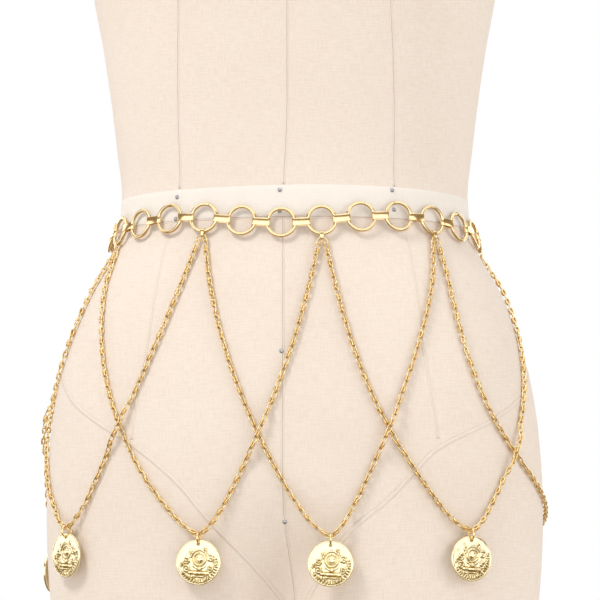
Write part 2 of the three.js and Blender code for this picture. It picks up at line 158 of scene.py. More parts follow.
class Skin:
    """The smooth skin of the form, as a function of the angle and the height."""

    def __init__(self, rows: Sequence[Section]) -> None:
        """Keeps the rows and works out the slope of each column at each of them."""
        self.rows = rows
        names = ("half", "front", "back", "power")
        self.values = [[getattr(row, name) for name in names] for row in rows]
        self.slopes = [[self._slope(i, c) for c in range(4)] for i in range(len(rows))]

    def _rise(self, a: int, b: int, column: int) -> float:
        """The slope of a column between two rows."""
        return (self.values[b][column] - self.values[a][column]) / (self.rows[b].z - self.rows[a].z)

    def _slope(self, i: int, column: int) -> float:
        """The slope of a column at row i, as a mean of the slopes either side."""
        last = len(self.rows) - 1
        if i == 0:
            return self._rise(0, 1, column)
        if i == last:
            return self._rise(last - 1, last, column)
        below = self.rows[i].z - self.rows[i - 1].z
        above = self.rows[i + 1].z - self.rows[i].z
        lower, upper = self._rise(i - 1, i, column), self._rise(i, i + 1, column)
        return (lower * above + upper * below) / (below + above)

    def section(self, z: float) -> list[float]:
        """The half width, front, back and power at height z."""
        i = 0
        while i < len(self.rows) - 2 and z >= self.rows[i + 1].z:
            i += 1
        step = self.rows[i + 1].z - self.rows[i].z
        t = min(1.0, max(0.0, (z - self.rows[i].z) / step))
        a, b = 2 * t**3 - 3 * t**2 + 1, t**3 - 2 * t**2 + t
        c, d = 3 * t**2 - 2 * t**3, t**3 - t**2
        low, high = self.values[i], self.values[i + 1]
        fall, lift = self.slopes[i], self.slopes[i + 1]
        return [low[k] * a + fall[k] * step * b + high[k] * c + lift[k] * step * d for k in range(4)]

    def point(self, angle: float, z: float) -> Vector:
        """The skin's point at an angle and a height."""
        half, front, back, power = self.section(z)
        x, y = math.sin(angle), -math.cos(angle)
        depth = front if y < 0 else back
        radius = (abs(x / half) ** power + abs(y / depth) ** power) ** (-1 / power)
        return Vector((radius * x, radius * y, z))

    def normal(self, angle: float, z: float) -> Vector:
        """The skin's outward normal."""
        across = self.point(angle + 0.001, z) - self.point(angle - 0.001, z)
        along = self.point(angle, z + 0.5) - self.point(angle, z - 0.5)
        return across.cross(along).normalized()

    def off(self, angle: float, z: float, distance: float) -> Vector:
        """A point held off the skin along its normal."""
        return self.point(angle, z) + self.normal(angle, z) * distance

    def frame(self, angle: float, z: float, distance: float) -> Matrix:
        """A frame on the skin: X level round the form, Y climbing it and Z outwards."""
        out = self.normal(angle, z)
        across = UP.cross(out).normalized()
        return basis(across, out.cross(across), out, self.off(angle, z, distance))


def basis(x: Vector, y: Vector, z: Vector, at: Vector) -> Matrix:
    """A matrix from three axes and a place."""
    matrix = Matrix((x, y, z)).transposed().to_4x4()
    matrix.translation = at
    return matrix


SKIN = Skin(FORM_SECTIONS)


# ---- Node building ----


class Nodes:
    """Adds nodes and links to one node tree."""

    def __init__(self, tree: bpy.types.NodeTree) -> None:
        """Empties the tree."""
        self.tree = tree
        tree.nodes.clear()

    def add(
        self, kind: str, inputs: dict[str | int, object] | None = None, **settings: object
    ) -> bpy.types.Node:
        """Adds a node.

        Args:
            kind: The node's type.
            inputs: For each input, a value or the output socket that feeds it.
            **settings: The node's own properties.

        Returns:
            The new node.
        """
        node = self.tree.nodes.new(kind)
        for name, value in settings.items():
            setattr(node, name, value)
        for name, value in (inputs or {}).items():
            socket = node.inputs[name]
            if isinstance(value, bpy.types.NodeSocket):
                self.tree.links.new(value, socket)
            else:
                socket.default_value = value
        return node

    def math(self, operation: str, *values: object, clamp: bool = False) -> bpy.types.NodeSocket:
        """A Math node's output for one to three values."""
        node = self.add("ShaderNodeMath", dict(enumerate(values)), operation=operation, use_clamp=clamp)
        return node.outputs[0]

    def band(self, value: object, low: float, high: float) -> bpy.types.NodeSocket:
        """A smooth rise from 0 at low to 1 at high."""
        inputs = {"Value": value, "From Min": low, "From Max": high}
        return self.add("ShaderNodeMapRange", inputs, interpolation_type="SMOOTHSTEP").outputs[0]

    def mix(self, share: object, first: object, second: object, blend: str = "MIX") -> bpy.types.NodeSocket:
        """A mix of two colours."""
        node = self.add("ShaderNodeMix", data_type="RGBA", blend_type=blend)
        for index, value in ((0, share), (6, first), (7, second)):
            if isinstance(value, bpy.types.NodeSocket):
                self.tree.links.new(value, node.inputs[index])
            else:
                node.inputs[index].default_value = value
        return node.outputs[2]

    def noise(
        self, vector: object, scale: float, detail: float = 3.0, rough: float = 0.5
    ) -> bpy.types.NodeSocket:
        """A noise texture's value."""
        inputs = {"Vector": vector, "Scale": scale, "Detail": detail, "Roughness": rough}
        return self.add("ShaderNodeTexNoise", inputs).outputs[0]

    def stretch(self, vector: object, scale: tuple[float, float, float]) -> bpy.types.NodeSocket:
        """A vector scaled along its axes."""
        return self.add("ShaderNodeMapping", {"Vector": vector, "Scale": scale}).outputs[0]

    def place(self) -> bpy.types.NodeSocket:
        """The piece's Object coordinates."""
        return self.add("ShaderNodeTexCoord").outputs["Object"]

    def cloth(self) -> bpy.types.NodeSocket:
        """The piece's own cloth map, in metres."""
        return self.add("ShaderNodeUVMap", uv_map="cloth").outputs[0]

    def bump(self, strength: float, height: bpy.types.NodeSocket) -> bpy.types.NodeSocket:
        """A normal bent by a height."""
        inputs = {"Strength": strength, "Distance": BUMP_REACH, "Height": height}
        return self.add("ShaderNodeBump", inputs).outputs[0]

    def surface(self, inputs: dict[str, object]) -> None:
        """Adds the Principled surface and joins it to the material's output."""
        shader = self.add("ShaderNodeBsdfPrincipled", inputs)
        self.add("ShaderNodeOutputMaterial", {"Surface": shader.outputs[0]})


def start_material(name: str) -> tuple[bpy.types.Material, Nodes]:
    """A new material and its emptied nodes."""
    material = bpy.data.materials.new(name)
    material.use_nodes = True
    return material, Nodes(material.node_tree)


def sockets(group: bpy.types.NodeTree, inputs: dict[str, str], outputs: dict[str, str]) -> None:
    """Gives a node group its inputs and outputs, each a name and a socket type."""
    for direction, table in (("INPUT", inputs), ("OUTPUT", outputs)):
        for name, kind in table.items():
            group.interface.new_socket(name, in_out=direction, socket_type=kind)


def thread_group() -> bpy.types.NodeTree:
    """A plain weave with uneven threads, as a height, a tone and a slub mask.

    Returns:
        The node group. Its Cloth input is in metres, across and up.
    """
    group = bpy.data.node_groups.new("plain_weave", "ShaderNodeTree")
    nodes = Nodes(group)
    sockets(
        group,
        {"Cloth": "NodeSocketVector", "Thread": "NodeSocketFloat"},
        {"Height": "NodeSocketFloat", "Tone": "NodeSocketFloat", "Slub": "NodeSocketFloat"},
    )
    given = nodes.add("NodeGroupInput")
    cloth = given.outputs["Cloth"]
    parts = nodes.add("ShaderNodeSeparateXYZ", {"Vector": cloth})
    warp_noise = nodes.noise(nodes.stretch(cloth, (1.0, 0.11, 1.0)), 1150.0, 3.0)
    weft_noise = nodes.noise(nodes.stretch(cloth, (0.08, 1.0, 1.0)), 1150.0, 3.0)
    turn = nodes.math("DIVIDE", 2 * math.pi, given.outputs["Thread"])
    waves = []
    for index, uneven in ((0, warp_noise), (1, weft_noise)):
        shift = nodes.math("MULTIPLY", uneven, 4.0)
        phase = nodes.math("MULTIPLY_ADD", parts.outputs[index], turn, shift)
        waves.append(nodes.math("SINE", phase))
    over = nodes.math("MULTIPLY", waves[0], waves[1])
    height = nodes.math("MULTIPLY_ADD", over, 0.25, nodes.math("MULTIPLY_ADD", warp_noise, 0.45, 0.25))
    slub = nodes.math("MAXIMUM", nodes.band(warp_noise, 0.58, 0.74), nodes.band(weft_noise, 0.58, 0.74))
    tone = nodes.math("MULTIPLY_ADD", weft_noise, 0.5, nodes.math("MULTIPLY", warp_noise, 0.5))
    nodes.add("NodeGroupOutput", {"Height": height, "Tone": tone, "Slub": slub})
    return group


def woven_colour(
    nodes: Nodes,
    threads: bpy.types.Node,
    place: bpy.types.NodeSocket,
    base: Colour,
    shade: Colour,
) -> bpy.types.NodeSocket:
    """The colour of woven cloth, varied by its threads and broadly by its place.

    Args:
        nodes: The material's nodes.
        threads: The material's weave group node.
        place: Object coordinates.
        base: The cloth's light colour.
        shade: The cloth's darker colour.

    Returns:
        The colour's output.
    """
    broad = nodes.noise(place, 9.0, 2.0)
    tone = nodes.math("MULTIPLY_ADD", threads.outputs["Tone"], 1.1, nodes.math("MULTIPLY", broad, 0.3))
    share = nodes.band(tone, 0.42, 0.98)
    colour = nodes.mix(share, (*shade, 1.0), (*base, 1.0))
    return nodes.mix(nodes.math("MULTIPLY", threads.outputs["Slub"], 0.32), colour, (*shade, 1.0))


# ---- Finishes ----


@dataclass(frozen=True)
class ClothFinish:
    """A woven cover, its pattern laid on the piece's own cloth map."""

    name: str
    base: Colour
    shade: Colour
    thread_mm: float
    bump: float
    sheen: float
    roughness: float = 0.92

    def make(self, weave: bpy.types.NodeTree) -> bpy.types.Material:
        """Builds the material with the weave group."""
        material, nodes = start_material(self.name)
        inputs = {"Cloth": nodes.cloth(), "Thread": self.thread_mm * MM}
        threads = nodes.add("ShaderNodeGroup", inputs, node_tree=weave)
        nodes.surface(
            {
                "Base Color": woven_colour(nodes, threads, nodes.place(), self.base, self.shade),
                "Roughness": self.roughness,
                "Specular IOR Level": 0.2,
                "Sheen Weight": self.sheen,
                "Sheen Roughness": 0.5,
                "Normal": nodes.bump(self.bump, threads.outputs["Height"]),
            }
        )
        return material


@dataclass(frozen=True)
class SeamFinish:
    """A sewn seam: folded cloth with thin lines of painted crease shade and rows of small stitches, on the
    seam's own map.
    """

    name: str
    crease_shade_and_stitch: Colour
    crease_shade_lines: tuple[float, ...]
    stitches: tuple[float, ...]
    half_groove: float
    strength: float
    stitch_mm: float = 1.9
    thread_mm: float = 1.1
    wander_mm: float = 0.6
    bump: float = 0.4
    roughness: float = 0.92

    def lines(self, nodes: Nodes, uv: bpy.types.NodeSocket) -> bpy.types.NodeSocket:
        """A mask of the painted crease-shade lines and of the stitches' dots."""
        parts = nodes.add("ShaderNodeSeparateXYZ", {"Vector": uv})
        across, along = parts.outputs[0], parts.outputs[1]
        drift, wander = nodes.noise(nodes.stretch(uv, (0.0, 1.0, 1.0)), 90.0), self.wander_mm * MM
        line = nodes.math("ADD", across, nodes.math("MULTIPLY_ADD", drift, wander, -0.5 * wander))
        step = nodes.math("FRACT", nodes.math("DIVIDE", along, self.stitch_mm * MM))
        middle = nodes.math("ABSOLUTE", nodes.math("SUBTRACT", step, 0.5))
        dots = nodes.math("SUBTRACT", 1.0, nodes.band(middle, 0.12, 0.3))
        rows = []
        for centre in (*self.crease_shade_lines, *self.stitches):
            gap = nodes.math("ABSOLUTE", nodes.math("SUBTRACT", line, centre * MM))
            row = nodes.math("SUBTRACT", 1.0, nodes.band(gap, 0.0, self.half_groove * MM))
            rows.append(row if centre in self.crease_shade_lines else nodes.math("MULTIPLY", row, dots))
        mask = rows[0]
        for row in rows[1:]:
            mask = nodes.math("MAXIMUM", mask, row)
        return mask

    def make(self, weave: bpy.types.NodeTree) -> bpy.types.Material:
        """Builds the material with the weave group."""
        material, nodes = start_material(self.name)
        uv = nodes.cloth()
        inputs = {"Cloth": uv, "Thread": self.thread_mm * MM}
        threads = nodes.add("ShaderNodeGroup", inputs, node_tree=weave)
        lines = self.lines(nodes, uv)
        # The darkening below is painted crease shade along the shade lines, plus the stitches' dots, broken
        # up by noise patches.
        patches = nodes.math("MULTIPLY_ADD", nodes.noise(uv, 45.0), 1.0, 0.4, clamp=True)
        dark = nodes.math("MULTIPLY", nodes.math("MULTIPLY", lines, patches), self.strength)
        cloth = woven_colour(nodes, threads, nodes.place(), LINEN_BASE, LINEN_SHADE)
        weave_height = nodes.math("MULTIPLY", threads.outputs["Height"], 0.4)
        nodes.surface(
            {
                "Base Color": nodes.mix(dark, cloth, (*self.crease_shade_and_stitch, 1.0)),
                "Roughness": self.roughness,
                "Specular IOR Level": 0.2,
                "Normal": nodes.bump(self.bump, nodes.math("SUBTRACT", weave_height, lines)),
            }
        )
        return material


@dataclass(frozen=True)
class GoldFinish:
    """Gold plate: bright on what stands out, mixed towards a brown where the piece's own depth attribute says
    so: painted shade on the wires and links, patina in the coins' recesses.
    """

    name: str
    base: Colour
    painted_shade_and_patina: Colour
    roughness: float
    ripple: float

    def make(self) -> bpy.types.Material:
        """Builds the material."""
        material, nodes = start_material(self.name)
        place = nodes.place()
        # The depth attribute is painted shade on rings, links and jump rings, and on the coins the recess
        # patina, weighted towards the lower left.
        depth = nodes.add("ShaderNodeAttribute", attribute_name="depth").outputs["Fac"]
        cloud = nodes.noise(place, 260.0, 4.0, 0.6)
        fine = nodes.noise(place, 2400.0, 2.0)
        worn = nodes.mix(nodes.math("MULTIPLY", cloud, 0.22), (*self.base, 1.0), (*self.painted_shade_and_patina, 1.0))
        rough = nodes.math("MULTIPLY_ADD", cloud, 0.12, self.roughness - 0.05)
        grain = nodes.math("MULTIPLY_ADD", fine, 0.15, nodes.math("MULTIPLY", cloud, 0.6))
        nodes.surface(
            {
                "Base Color": nodes.mix(depth, worn, (*self.painted_shade_and_patina, 1.0)),
                "Metallic": 1.0,
                "Roughness": nodes.math("MULTIPLY_ADD", depth, 0.22, rough),
                "Normal": nodes.bump(self.ripple, grain),
            }
        )
        return material


@dataclass(frozen=True)
class SteelFinish:
    """Polished steel of the pins."""

    name: str = "pin_steel"
    base: Colour = (0.56, 0.58, 0.62)
    cloudy: Colour = (0.38, 0.40, 0.44)

    def make(self) -> bpy.types.Material:
        """Builds the material."""
        material, nodes = start_material(self.name)
        cloud = nodes.noise(nodes.place(), 900.0, 3.0)
        rough = nodes.math("MULTIPLY_ADD", cloud, 0.2, 0.12)
        colour = nodes.mix(cloud, (*self.base, 1.0), (*self.cloudy, 1.0))
        nodes.surface({"Base Color": colour, "Metallic": 1.0, "Roughness": rough})
        return material


class Finish(Enum):
    """The finishes of the belt and the form."""

    LINEN = "linen"
    TAPE = "tape"
    SEAM = "seam"
    FINE_SEAM = "fine_seam"
    FELLED_SEAM = "felled_seam"
    RING_GOLD = "ring_gold"
    CHAIN_GOLD = "chain_gold"
    COIN_GOLD = "coin_gold"
    STEEL = "steel"


LINEN_BASE = (0.905, 0.797, 0.694)
LINEN_SHADE = (0.80, 0.674, 0.562)
TAPE_BASE = (0.92, 0.856, 0.778)
TAPE_SHADE = (0.87, 0.79, 0.70)
RING_GOLD = GoldFinish("ring_gold", (1.0, 0.83, 0.50), (0.46, 0.24, 0.06), 0.14, 0.12)
CHAIN_GOLD = GoldFinish("chain_gold", (1.0, 0.85, 0.48), (0.72, 0.38, 0.08), 0.16, 0.15)
COIN_GOLD = GoldFinish("coin_gold", (1.0, 0.92, 0.63), (0.36, 0.21, 0.02), 0.14, 0.25)


def make_finishes() -> dict[Finish, bpy.types.Material]:
    """Builds every material once.

    Returns:
        The material of each finish.
    """
    weave = thread_group()
    # Colour of the painted crease shade and of the stitches.
    crease_shade_and_stitch = (0.34, 0.26, 0.20)
    return {
        Finish.LINEN: ClothFinish("linen_cover", LINEN_BASE, LINEN_SHADE, 1.1, 0.35, 0.15).make(weave),
        Finish.TAPE: ClothFinish("cotton_tape", TAPE_BASE, TAPE_SHADE, 0.8, 0.3, 0.2).make(weave),
        Finish.SEAM: SeamFinish("sewn_seam", crease_shade_and_stitch, (0.0,), (), 0.5, 0.62).make(weave),
        Finish.FINE_SEAM: SeamFinish("stitched_seam", crease_shade_and_stitch, (), (0.0,), 0.45, 0.6).make(weave),
        # On the felled seam the line at 1.15 mm is a painted shadow beside the fold.
        Finish.FELLED_SEAM: SeamFinish("felled_seam", crease_shade_and_stitch, (1.15,), (-1.2,), 0.45, 0.34).make(weave),
        Finish.RING_GOLD: RING_GOLD.make(),
        Finish.CHAIN_GOLD: CHAIN_GOLD.make(),
        Finish.COIN_GOLD: COIN_GOLD.make(),
        Finish.STEEL: SteelFinish().make(),
    }


# ---- Mesh helpers ----


@dataclass(frozen=True)
class Dress:
    """What a finished piece needs besides its mesh."""

    name: str
    body: str
    slot: str | None
    finish: Finish
    replaces: tuple[str, ...] = ()
    sharp_deg: float = 40.0


class Workshop:
    """Turns bmeshes into finished pieces that ride on their bodies."""

    def __init__(self, finishes: dict[Finish, bpy.types.Material]) -> None:
        """Keeps the finishes."""
        self.finishes = finishes

    def piece(self, bm: bmesh.types.BMesh, dress: Dress) -> bpy.types.Object:
        """Finishes a bmesh that is in millimetres and frees it.

        Args:
            bm: The shape, in the row frame.
            dress: The piece's name, body, slot, finish and the nodes that it stands for.

        Returns:
            The finished object.
        """
        bmesh.ops.transform(bm, matrix=Matrix.Scale(MM, 4), verts=bm.verts)
        bmesh.ops.recalc_face_normals(bm, faces=bm.faces)
        mesh = bpy.data.meshes.new(dress.name)
        bm.to_mesh(mesh)
        bm.free()
        return self.dress(mesh, dress)

    def dress(self, mesh: bpy.types.Mesh, dress: Dress) -> bpy.types.Object:
        """Gives a finished mesh its object, material and body."""
        mesh.shade_smooth()
        mesh.set_sharp_from_angle(angle=math.radians(dress.sharp_deg))
        mesh.materials.clear()
        mesh.materials.append(self.finishes[dress.finish])
        piece = bpy.data.objects.new(dress.name, mesh)
        bpy.context.scene.collection.objects.link(piece)
        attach(piece, dress.body)
        if dress.replaces:
            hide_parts(*dress.replaces)
        LOG.info("%s: %d faces on %s", dress.name, len(mesh.polygons), dress.body)
        return piece


def of_kind(elements: Iterable[object], kind: type) -> list:
    """The elements of one bmesh type."""
    return [e for e in elements if isinstance(e, kind)]


def extrude_edges(bm: bmesh.types.BMesh, edges: list[bmesh.types.BMEdge]) -> tuple[list, list]:
    """Extrudes edges and returns the new vertices and the new edges."""
    made = bmesh.ops.extrude_edge_only(bm, edges=edges)["geom"]
    return of_kind(made, bmesh.types.BMVert), of_kind(made, bmesh.types.BMEdge)


def sweep(
    bm: bmesh.types.BMesh,
    frames: Sequence[Matrix],
    section: Sequence[tuple[float, float]],
    layer: tuple,
) -> None:
    """Extrudes a closed section through frames and closes both ends.

    Args:
        bm: The bmesh that receives the shape.
        frames: The frame of each section, with the section in its X and Z.
        section: The section's corners in X and Z.
        layer: The two float vertex layers for the place across and along it.
    """
    corners = [bm.verts.new(frames[0] @ Vector((x, 0.0, z))) for x, z in section]
    edges = [bm.edges.new((corners[i], corners[(i + 1) % len(corners)])) for i in range(len(corners))]
    home = {v: section[i] for i, v in enumerate(corners)}
    run = 0.0
    mark(corners, home, layer, run)
    first = list(edges)
    for k in range(1, len(frames)):
        fresh, edges = extrude_edges(bm, edges)
        back = frames[k - 1].inverted()
        spots = {v: back @ v.co for v in fresh}
        run += (frames[k].translation - frames[k - 1].translation).length
        home = {v: (spots[v].x, spots[v].z) for v in fresh}
        for v in fresh:
            v.co = frames[k] @ Vector((spots[v].x, 0.0, spots[v].z))
        mark(fresh, home, layer, run)
    bmesh.ops.contextual_create(bm, geom=first)
    bmesh.ops.contextual_create(bm, geom=edges)


def mark(verts: Iterable[object], home: dict, layer: tuple, run: float) -> None:
    """Writes where a vertex lies across and along a sweep into its layers."""
    across, along = layer
    for v in verts:
        v[across] = home[v][0] * MM
        v[along] = run * MM


def map_from_layers(bm: bmesh.types.BMesh, layer: tuple) -> None:
    """Turns a sweep's layers into the cloth map."""
    uv = bm.loops.layers.uv.new("cloth")
    for face in bm.faces:
        for loop in face.loops:
            loop[uv].uv = (loop.vert[layer[0]], loop.vert[layer[1]])


def stadium(bm: bmesh.types.BMesh, start: float, end: float, radius: float, steps: int) -> list:
    """The edges of a loop of two half circles on the X axis, in the XY plane."""
    turn = Matrix.Rotation(math.pi / steps, 4, "Z")
    made = bmesh.ops.create_circle(bm, cap_ends=False, radius=radius, segments=steps, matrix=turn)
    for v in made["verts"]:
        v.co.x += end if v.co.x > 0 else start
    return list({e for v in made["verts"] for e in v.link_edges})


def soften(bm: bmesh.types.BMesh, offset: float, segments: int = 2) -> None:
    """Bevels the edges at which a shape turns sharply."""
    rims = [e for e in bm.edges if len(e.link_faces) == 2 and e.calc_face_angle(0.0) > SHARP_TURN]
    bmesh.ops.bevel(
        bm, geom=rims, offset=offset, segments=segments, affect="EDGES", profile=0.5, material=-1
    )


def strip_loop(
    start: float, end: float, hole: float, wall: float, width: float, steps: int = 20
) -> bmesh.types.BMesh:
    """Bends a strip into a closed loop along X, with its width across Z and softened edges.

    Args:
        start: Where the first bend's middle lies on X.
        end: Where the second bend's middle lies on X.
        hole: The radius inside the bends.
        wall: The strip's thickness.
        width: The strip's width.
        steps: How many segments its two bends have together.

    Returns:
        The loop.
    """
    bm = bmesh.new()
    inner = stadium(bm, start, end, hole, steps)
    outer = stadium(bm, start, end, hole + wall, steps)
    bmesh.ops.bridge_loops(bm, edges=inner + outer)
    bmesh.ops.translate(bm, verts=bm.verts, vec=(0, 0, -width / 2))
    made = bmesh.ops.extrude_face_region(bm, geom=bm.faces[:])["geom"]
    bmesh.ops.translate(bm, verts=of_kind(made, bmesh.types.BMVert), vec=(0, 0, width))
    bmesh.ops.recalc_face_normals(bm, faces=bm.faces)
    soften(bm, 0.3 * wall)
    return bm


def join(bm: bmesh.types.BMesh, extra: bmesh.types.BMesh, matrix: Matrix) -> None:
    """Adds a copy of extra to bm, placed by a matrix."""
    holder = bpy.data.meshes.new("joining")
    extra.to_mesh(holder)
    holder.transform(matrix)
    bm.from_mesh(holder)
    bpy.data.meshes.remove(holder)


def wire_loop(
    length: float, width: float, wire: float, steps: int, sides: int, gap_deg: float = 0.0
) -> bmesh.types.BMesh:
    """A round wire bent to a closed loop in the XY plane, longest along X.

    Args:
        length: The loop's whole length between wire centres.
        width: Its width between wire centres.
        wire: The wire's radius.
        steps: How many sections it has.
        sides: How many sides a section has.
        gap_deg: The slit where its ends meet, at the top.

    Returns:
        The loop.
    """
    bm = bmesh.new()
    half = width / 2
    made = bmesh.ops.create_circle(
        bm,
        cap_ends=gap_deg > 0,
        radius=wire,
        segments=sides,
        matrix=Matrix.Rotation(math.radians(90 + gap_deg / 2), 4, "Z")
        @ Matrix.Translation((half, 0, 0))
        @ Matrix.Rotation(math.pi / 2, 4, "X"),
    )
    geometry = made["verts"] + list({e for v in made["verts"] for e in v.link_edges}) + bm.faces[:]
    bmesh.ops.spin(
        bm,
        geom=geometry,
        angle=math.radians(360 - gap_deg),
        axis=(0, 0, 1),
        cent=(0, 0, 0),
        steps=steps,
        use_merge=gap_deg == 0,
    )
    bmesh.ops.remove_doubles(bm, verts=bm.verts, dist=1e-4)
    shift = (length - width) / 2
    if shift > 0:
        for v in bm.verts:
            v.co.x += shift if v.co.x > 1e-6 else (-shift if v.co.x < -1e-6 else 0.0)
    bmesh.ops.recalc_face_normals(bm, faces=bm.faces)
    return bm


def map_round(bm: bmesh.types.BMesh, radius: float, flat_ends: bool) -> None:
    """Lays the cloth map round the form's axis.

    Args:
        bm: The cloth, with its normals up to date.
        radius: The radius at which the map keeps its true size.
        flat_ends: Whether level faces are mapped from above instead.
    """
    uv = bm.loops.layers.uv.new("cloth")
    for face in bm.faces:
        turns = [heading(loop.vert) for loop in face.loops]
        wrap = max(turns) - min(turns) > math.pi
        level = flat_ends and abs(face.normal.z) > 0.99
        for loop, turn in zip(face.loops, turns):
            co = loop.vert.co
            across = (turn + 2 * math.pi if wrap and turn < 0 else turn) * radius
            loop[uv].uv = (co.x * MM, co.y * MM) if level else (across * MM, co.z * MM)


def heading(vert: bmesh.types.BMVert) -> float:
    """A vertex's angle round the form's axis, 0 at the front and growing to +X."""
    return math.atan2(vert.co.x, -vert.co.y)


def mirrored(route: Route) -> Route:
    """A seam's line on the form's other side."""
    return tuple((-angle, z) for angle, z in route)


def seam_section(half: float, felled: bool) -> Route:
    """A seam's outline across its run: two low ridges with a dip between them, or one flat fold.

    Args:
        half: Half the seam's width.
        felled: Whether the seam is folded flat.

    Returns:
        The outline's points, across and outwards.
    """
    rise = 0.12 if felled else 0.08
    middle = rise if felled else rise * 0.4
    right = ((half, -0.3), (half, 0.03), (half * 0.55, rise), (half * 0.12, rise))
    left = tuple((-x, z) for x, z in reversed(right))
    return (left[-1], *right, (0.0, middle), *left[:-1])


# ---- The dress form ----


@dataclass
class DressForm:
    """The linen-covered torso with its waist tape, seams and pins."""

    shop: Workshop
    sides: int = 256
    rise: float = 4.0
    hollow: float = 37.0
    hollow_half: float = 30.0
    hollow_top: float = 168.0
    hollow_fall: float = 130.0
    hollow_behind: float = 70.0
    tape_low: float = 350.6
    tape_high: float = 373.0
    tape_thick: float = 0.45
    seam_half: float = 1.3
    seam_rise: float = 0.08
    pin_radius: float = 1.6
    pin_squash: float = 0.8
    pin_rim: float = 1.75
    pin_rim_top: float = 1.65
    cover_reach: float = 150.0
    tape_reach: float = 115.0
    felled_half: float = 2.0

    centre_seam: Route = (
        (0.6, 14), (3.4, 60), (3.1, 87.6), (1.4, 118), (0.2, 150), (0.1, 219), (-0.2, 290), (-0.8, 350),
    )
    centre_seam_top: Route = (
        (-0.6, 373.5), (0.9, 419), (1.3, 470), (1.4, 540), (0.6, 620), (0, 700), (0, 806),
    )
    princess_left: Route = (
        (-46.4, 350), (-47.4, 336), (-46.0, 300), (-45.1, 262), (-45.6, 232), (-47.0, 192.5),
    )
    princess_left_top: Route = (
        (-44.4, 373.5), (-42.3, 422), (-39.3, 464), (-36.0, 505), (-33, 550), (-33, 600),
        (-37, 660), (-42, 712),
    )
    felled_left: Route = (
        (-93, 262), (-84, 252), (-74.9, 237), (-65.2, 218.6), (-52.6, 198.6), (-47, 190), (-34.7, 164.6),
        (-23.5, 133.9), (-11.3, 106.2), (-2.1, 82.8), (2.4, 66),
    )
    felled_right: Route = (
        (93, 250), (84, 241), (74.9, 226), (62.2, 206.9), (47.4, 187), (40.4, 169.2), (33, 149.6),
        (20, 122.7), (9.7, 87.6), (4.4, 66),
    )
    pins: Route = (
        (-45.2, 367.5), (-45.1, 351.5), (-2.1, 369.4), (-2.1, 354.3), (43.4, 370.8), (43.8, 356.7),
        (-0.4, 253.4), (0.6, 134.6), (136, 369), (-136, 369), (178, 369), (178, 352),
    )

    def lifted(self, angle: float, z: float, distance: float) -> Vector:
        """A point off the dressed skin, which has a soft hollow at the bottom of its front."""
        point = SKIN.off(angle, z, distance)
        point.y += self.sunk(point)
        return point

    def sunk(self, point: Vector) -> float:
        """How far the hollow draws a point of the front back."""
        fall = ease((self.hollow_top - point.z) / self.hollow_fall)
        reach = self.hollow_half * (1.4 - 0.6 * fall)
        front = ease(-point.y / self.hollow_behind)
        return self.hollow * fall * front * math.exp(-((point.x / reach) ** 2))

    @staticmethod
    def cap(bm: bmesh.types.BMesh, edges: list, sink: float) -> None:
        """Closes a ring of edges towards the axis, a little lower at each step."""
        last = 1.0
        for share in (0.97, 0.8, 0.5, 0.2):
            fresh, edges = extrude_edges(bm, edges)
            for v in fresh:
                v.co = Vector((v.co.x * share / last, v.co.y * share / last, v.co.z - sink))
            last = share
        bmesh.ops.contextual_create(bm, geom=edges)

    def facing(self, angle: float, z: float) -> Vector:
        """The outward normal of the dressed skin."""
        across = self.lifted(angle + 0.004, z, 0.0) - self.lifted(angle - 0.004, z, 0.0)
        along = self.lifted(angle, z + 0.6, 0.0) - self.lifted(angle, z - 0.6, 0.0)
        return across.cross(along).normalized()

    def cover(self) -> bpy.types.Object:
        """The linen cover, drawn up from its underside level by level."""
        bm = bmesh.new()
        made = bmesh.ops.create_circle(bm, cap_ends=False, radius=1.0, segments=self.sides)
        edges = bm.edges[:]
        angles = {v: heading(v) for v in made["verts"]}
        top = FORM_SECTIONS[-1].z
        even = [self.rise * k for k in range(2, int(805 / self.rise))]
        levels = [0.0, 2.0, 5.0, *even, 807.0, 809.5, top]
        for k, z in enumerate(levels):
            if k == 0:
                fresh = list(made["verts"])
            else:
                fresh, edges = extrude_edges(bm, edges)
                angles = {v: heading(v) for v in fresh}
            for v in fresh:
                v.co = SKIN.point(angles[v], z)
            if k == 0:
                first = list(edges)
        self.cap(bm, first, 0.0)
        self.cap(bm, edges, 0.3)
        bm.normal_update()
        map_round(bm, self.cover_reach, True)
        for v in bm.verts:
            v.co.y += self.sunk(v.co)
        dress = Dress("linen_cover", ROOT_BODY, LINEN_SLOT, Finish.LINEN, ("dress_form",), 50.0)
        return self.shop.piece(bm, dress)

    def tape(self) -> bpy.types.Object:
        """The cotton tape round the waist, a closed band just off the linen."""
        bm = bmesh.new()
        made = bmesh.ops.create_circle(bm, cap_ends=False, radius=1.0, segments=self.sides)
        angles = [heading(v) for v in made["verts"]]
        bottom, top, thick = self.tape_low, self.tape_high, self.tape_thick
        rows = [(bottom + 0.2, 0.06), (bottom, thick * 0.6), (bottom + 0.4, thick)]
        rows += [(bottom + (top - bottom) * k / 6, thick) for k in range(1, 6)]
        rows += [(top - 0.4, thick), (top, thick * 0.6), (top - 0.2, 0.06)]
        fresh, edges = list(made["verts"]), bm.edges[:]
        first = list(edges)
        for k, (z, off) in enumerate(rows):
            if k:
                fresh, edges = extrude_edges(bm, edges)
                angles = [heading(v) for v in fresh]
            for v, angle in zip(fresh, angles):
                v.co = SKIN.off(angle, z + 0.35 * math.sin(3 * angle + 0.4), off)
        bmesh.ops.bridge_loops(bm, edges=first + edges)
        map_round(bm, self.tape_reach, False)
        return self.shop.piece(bm, Dress("waist_tape", ROOT_BODY, LINEN_SLOT, Finish.TAPE))

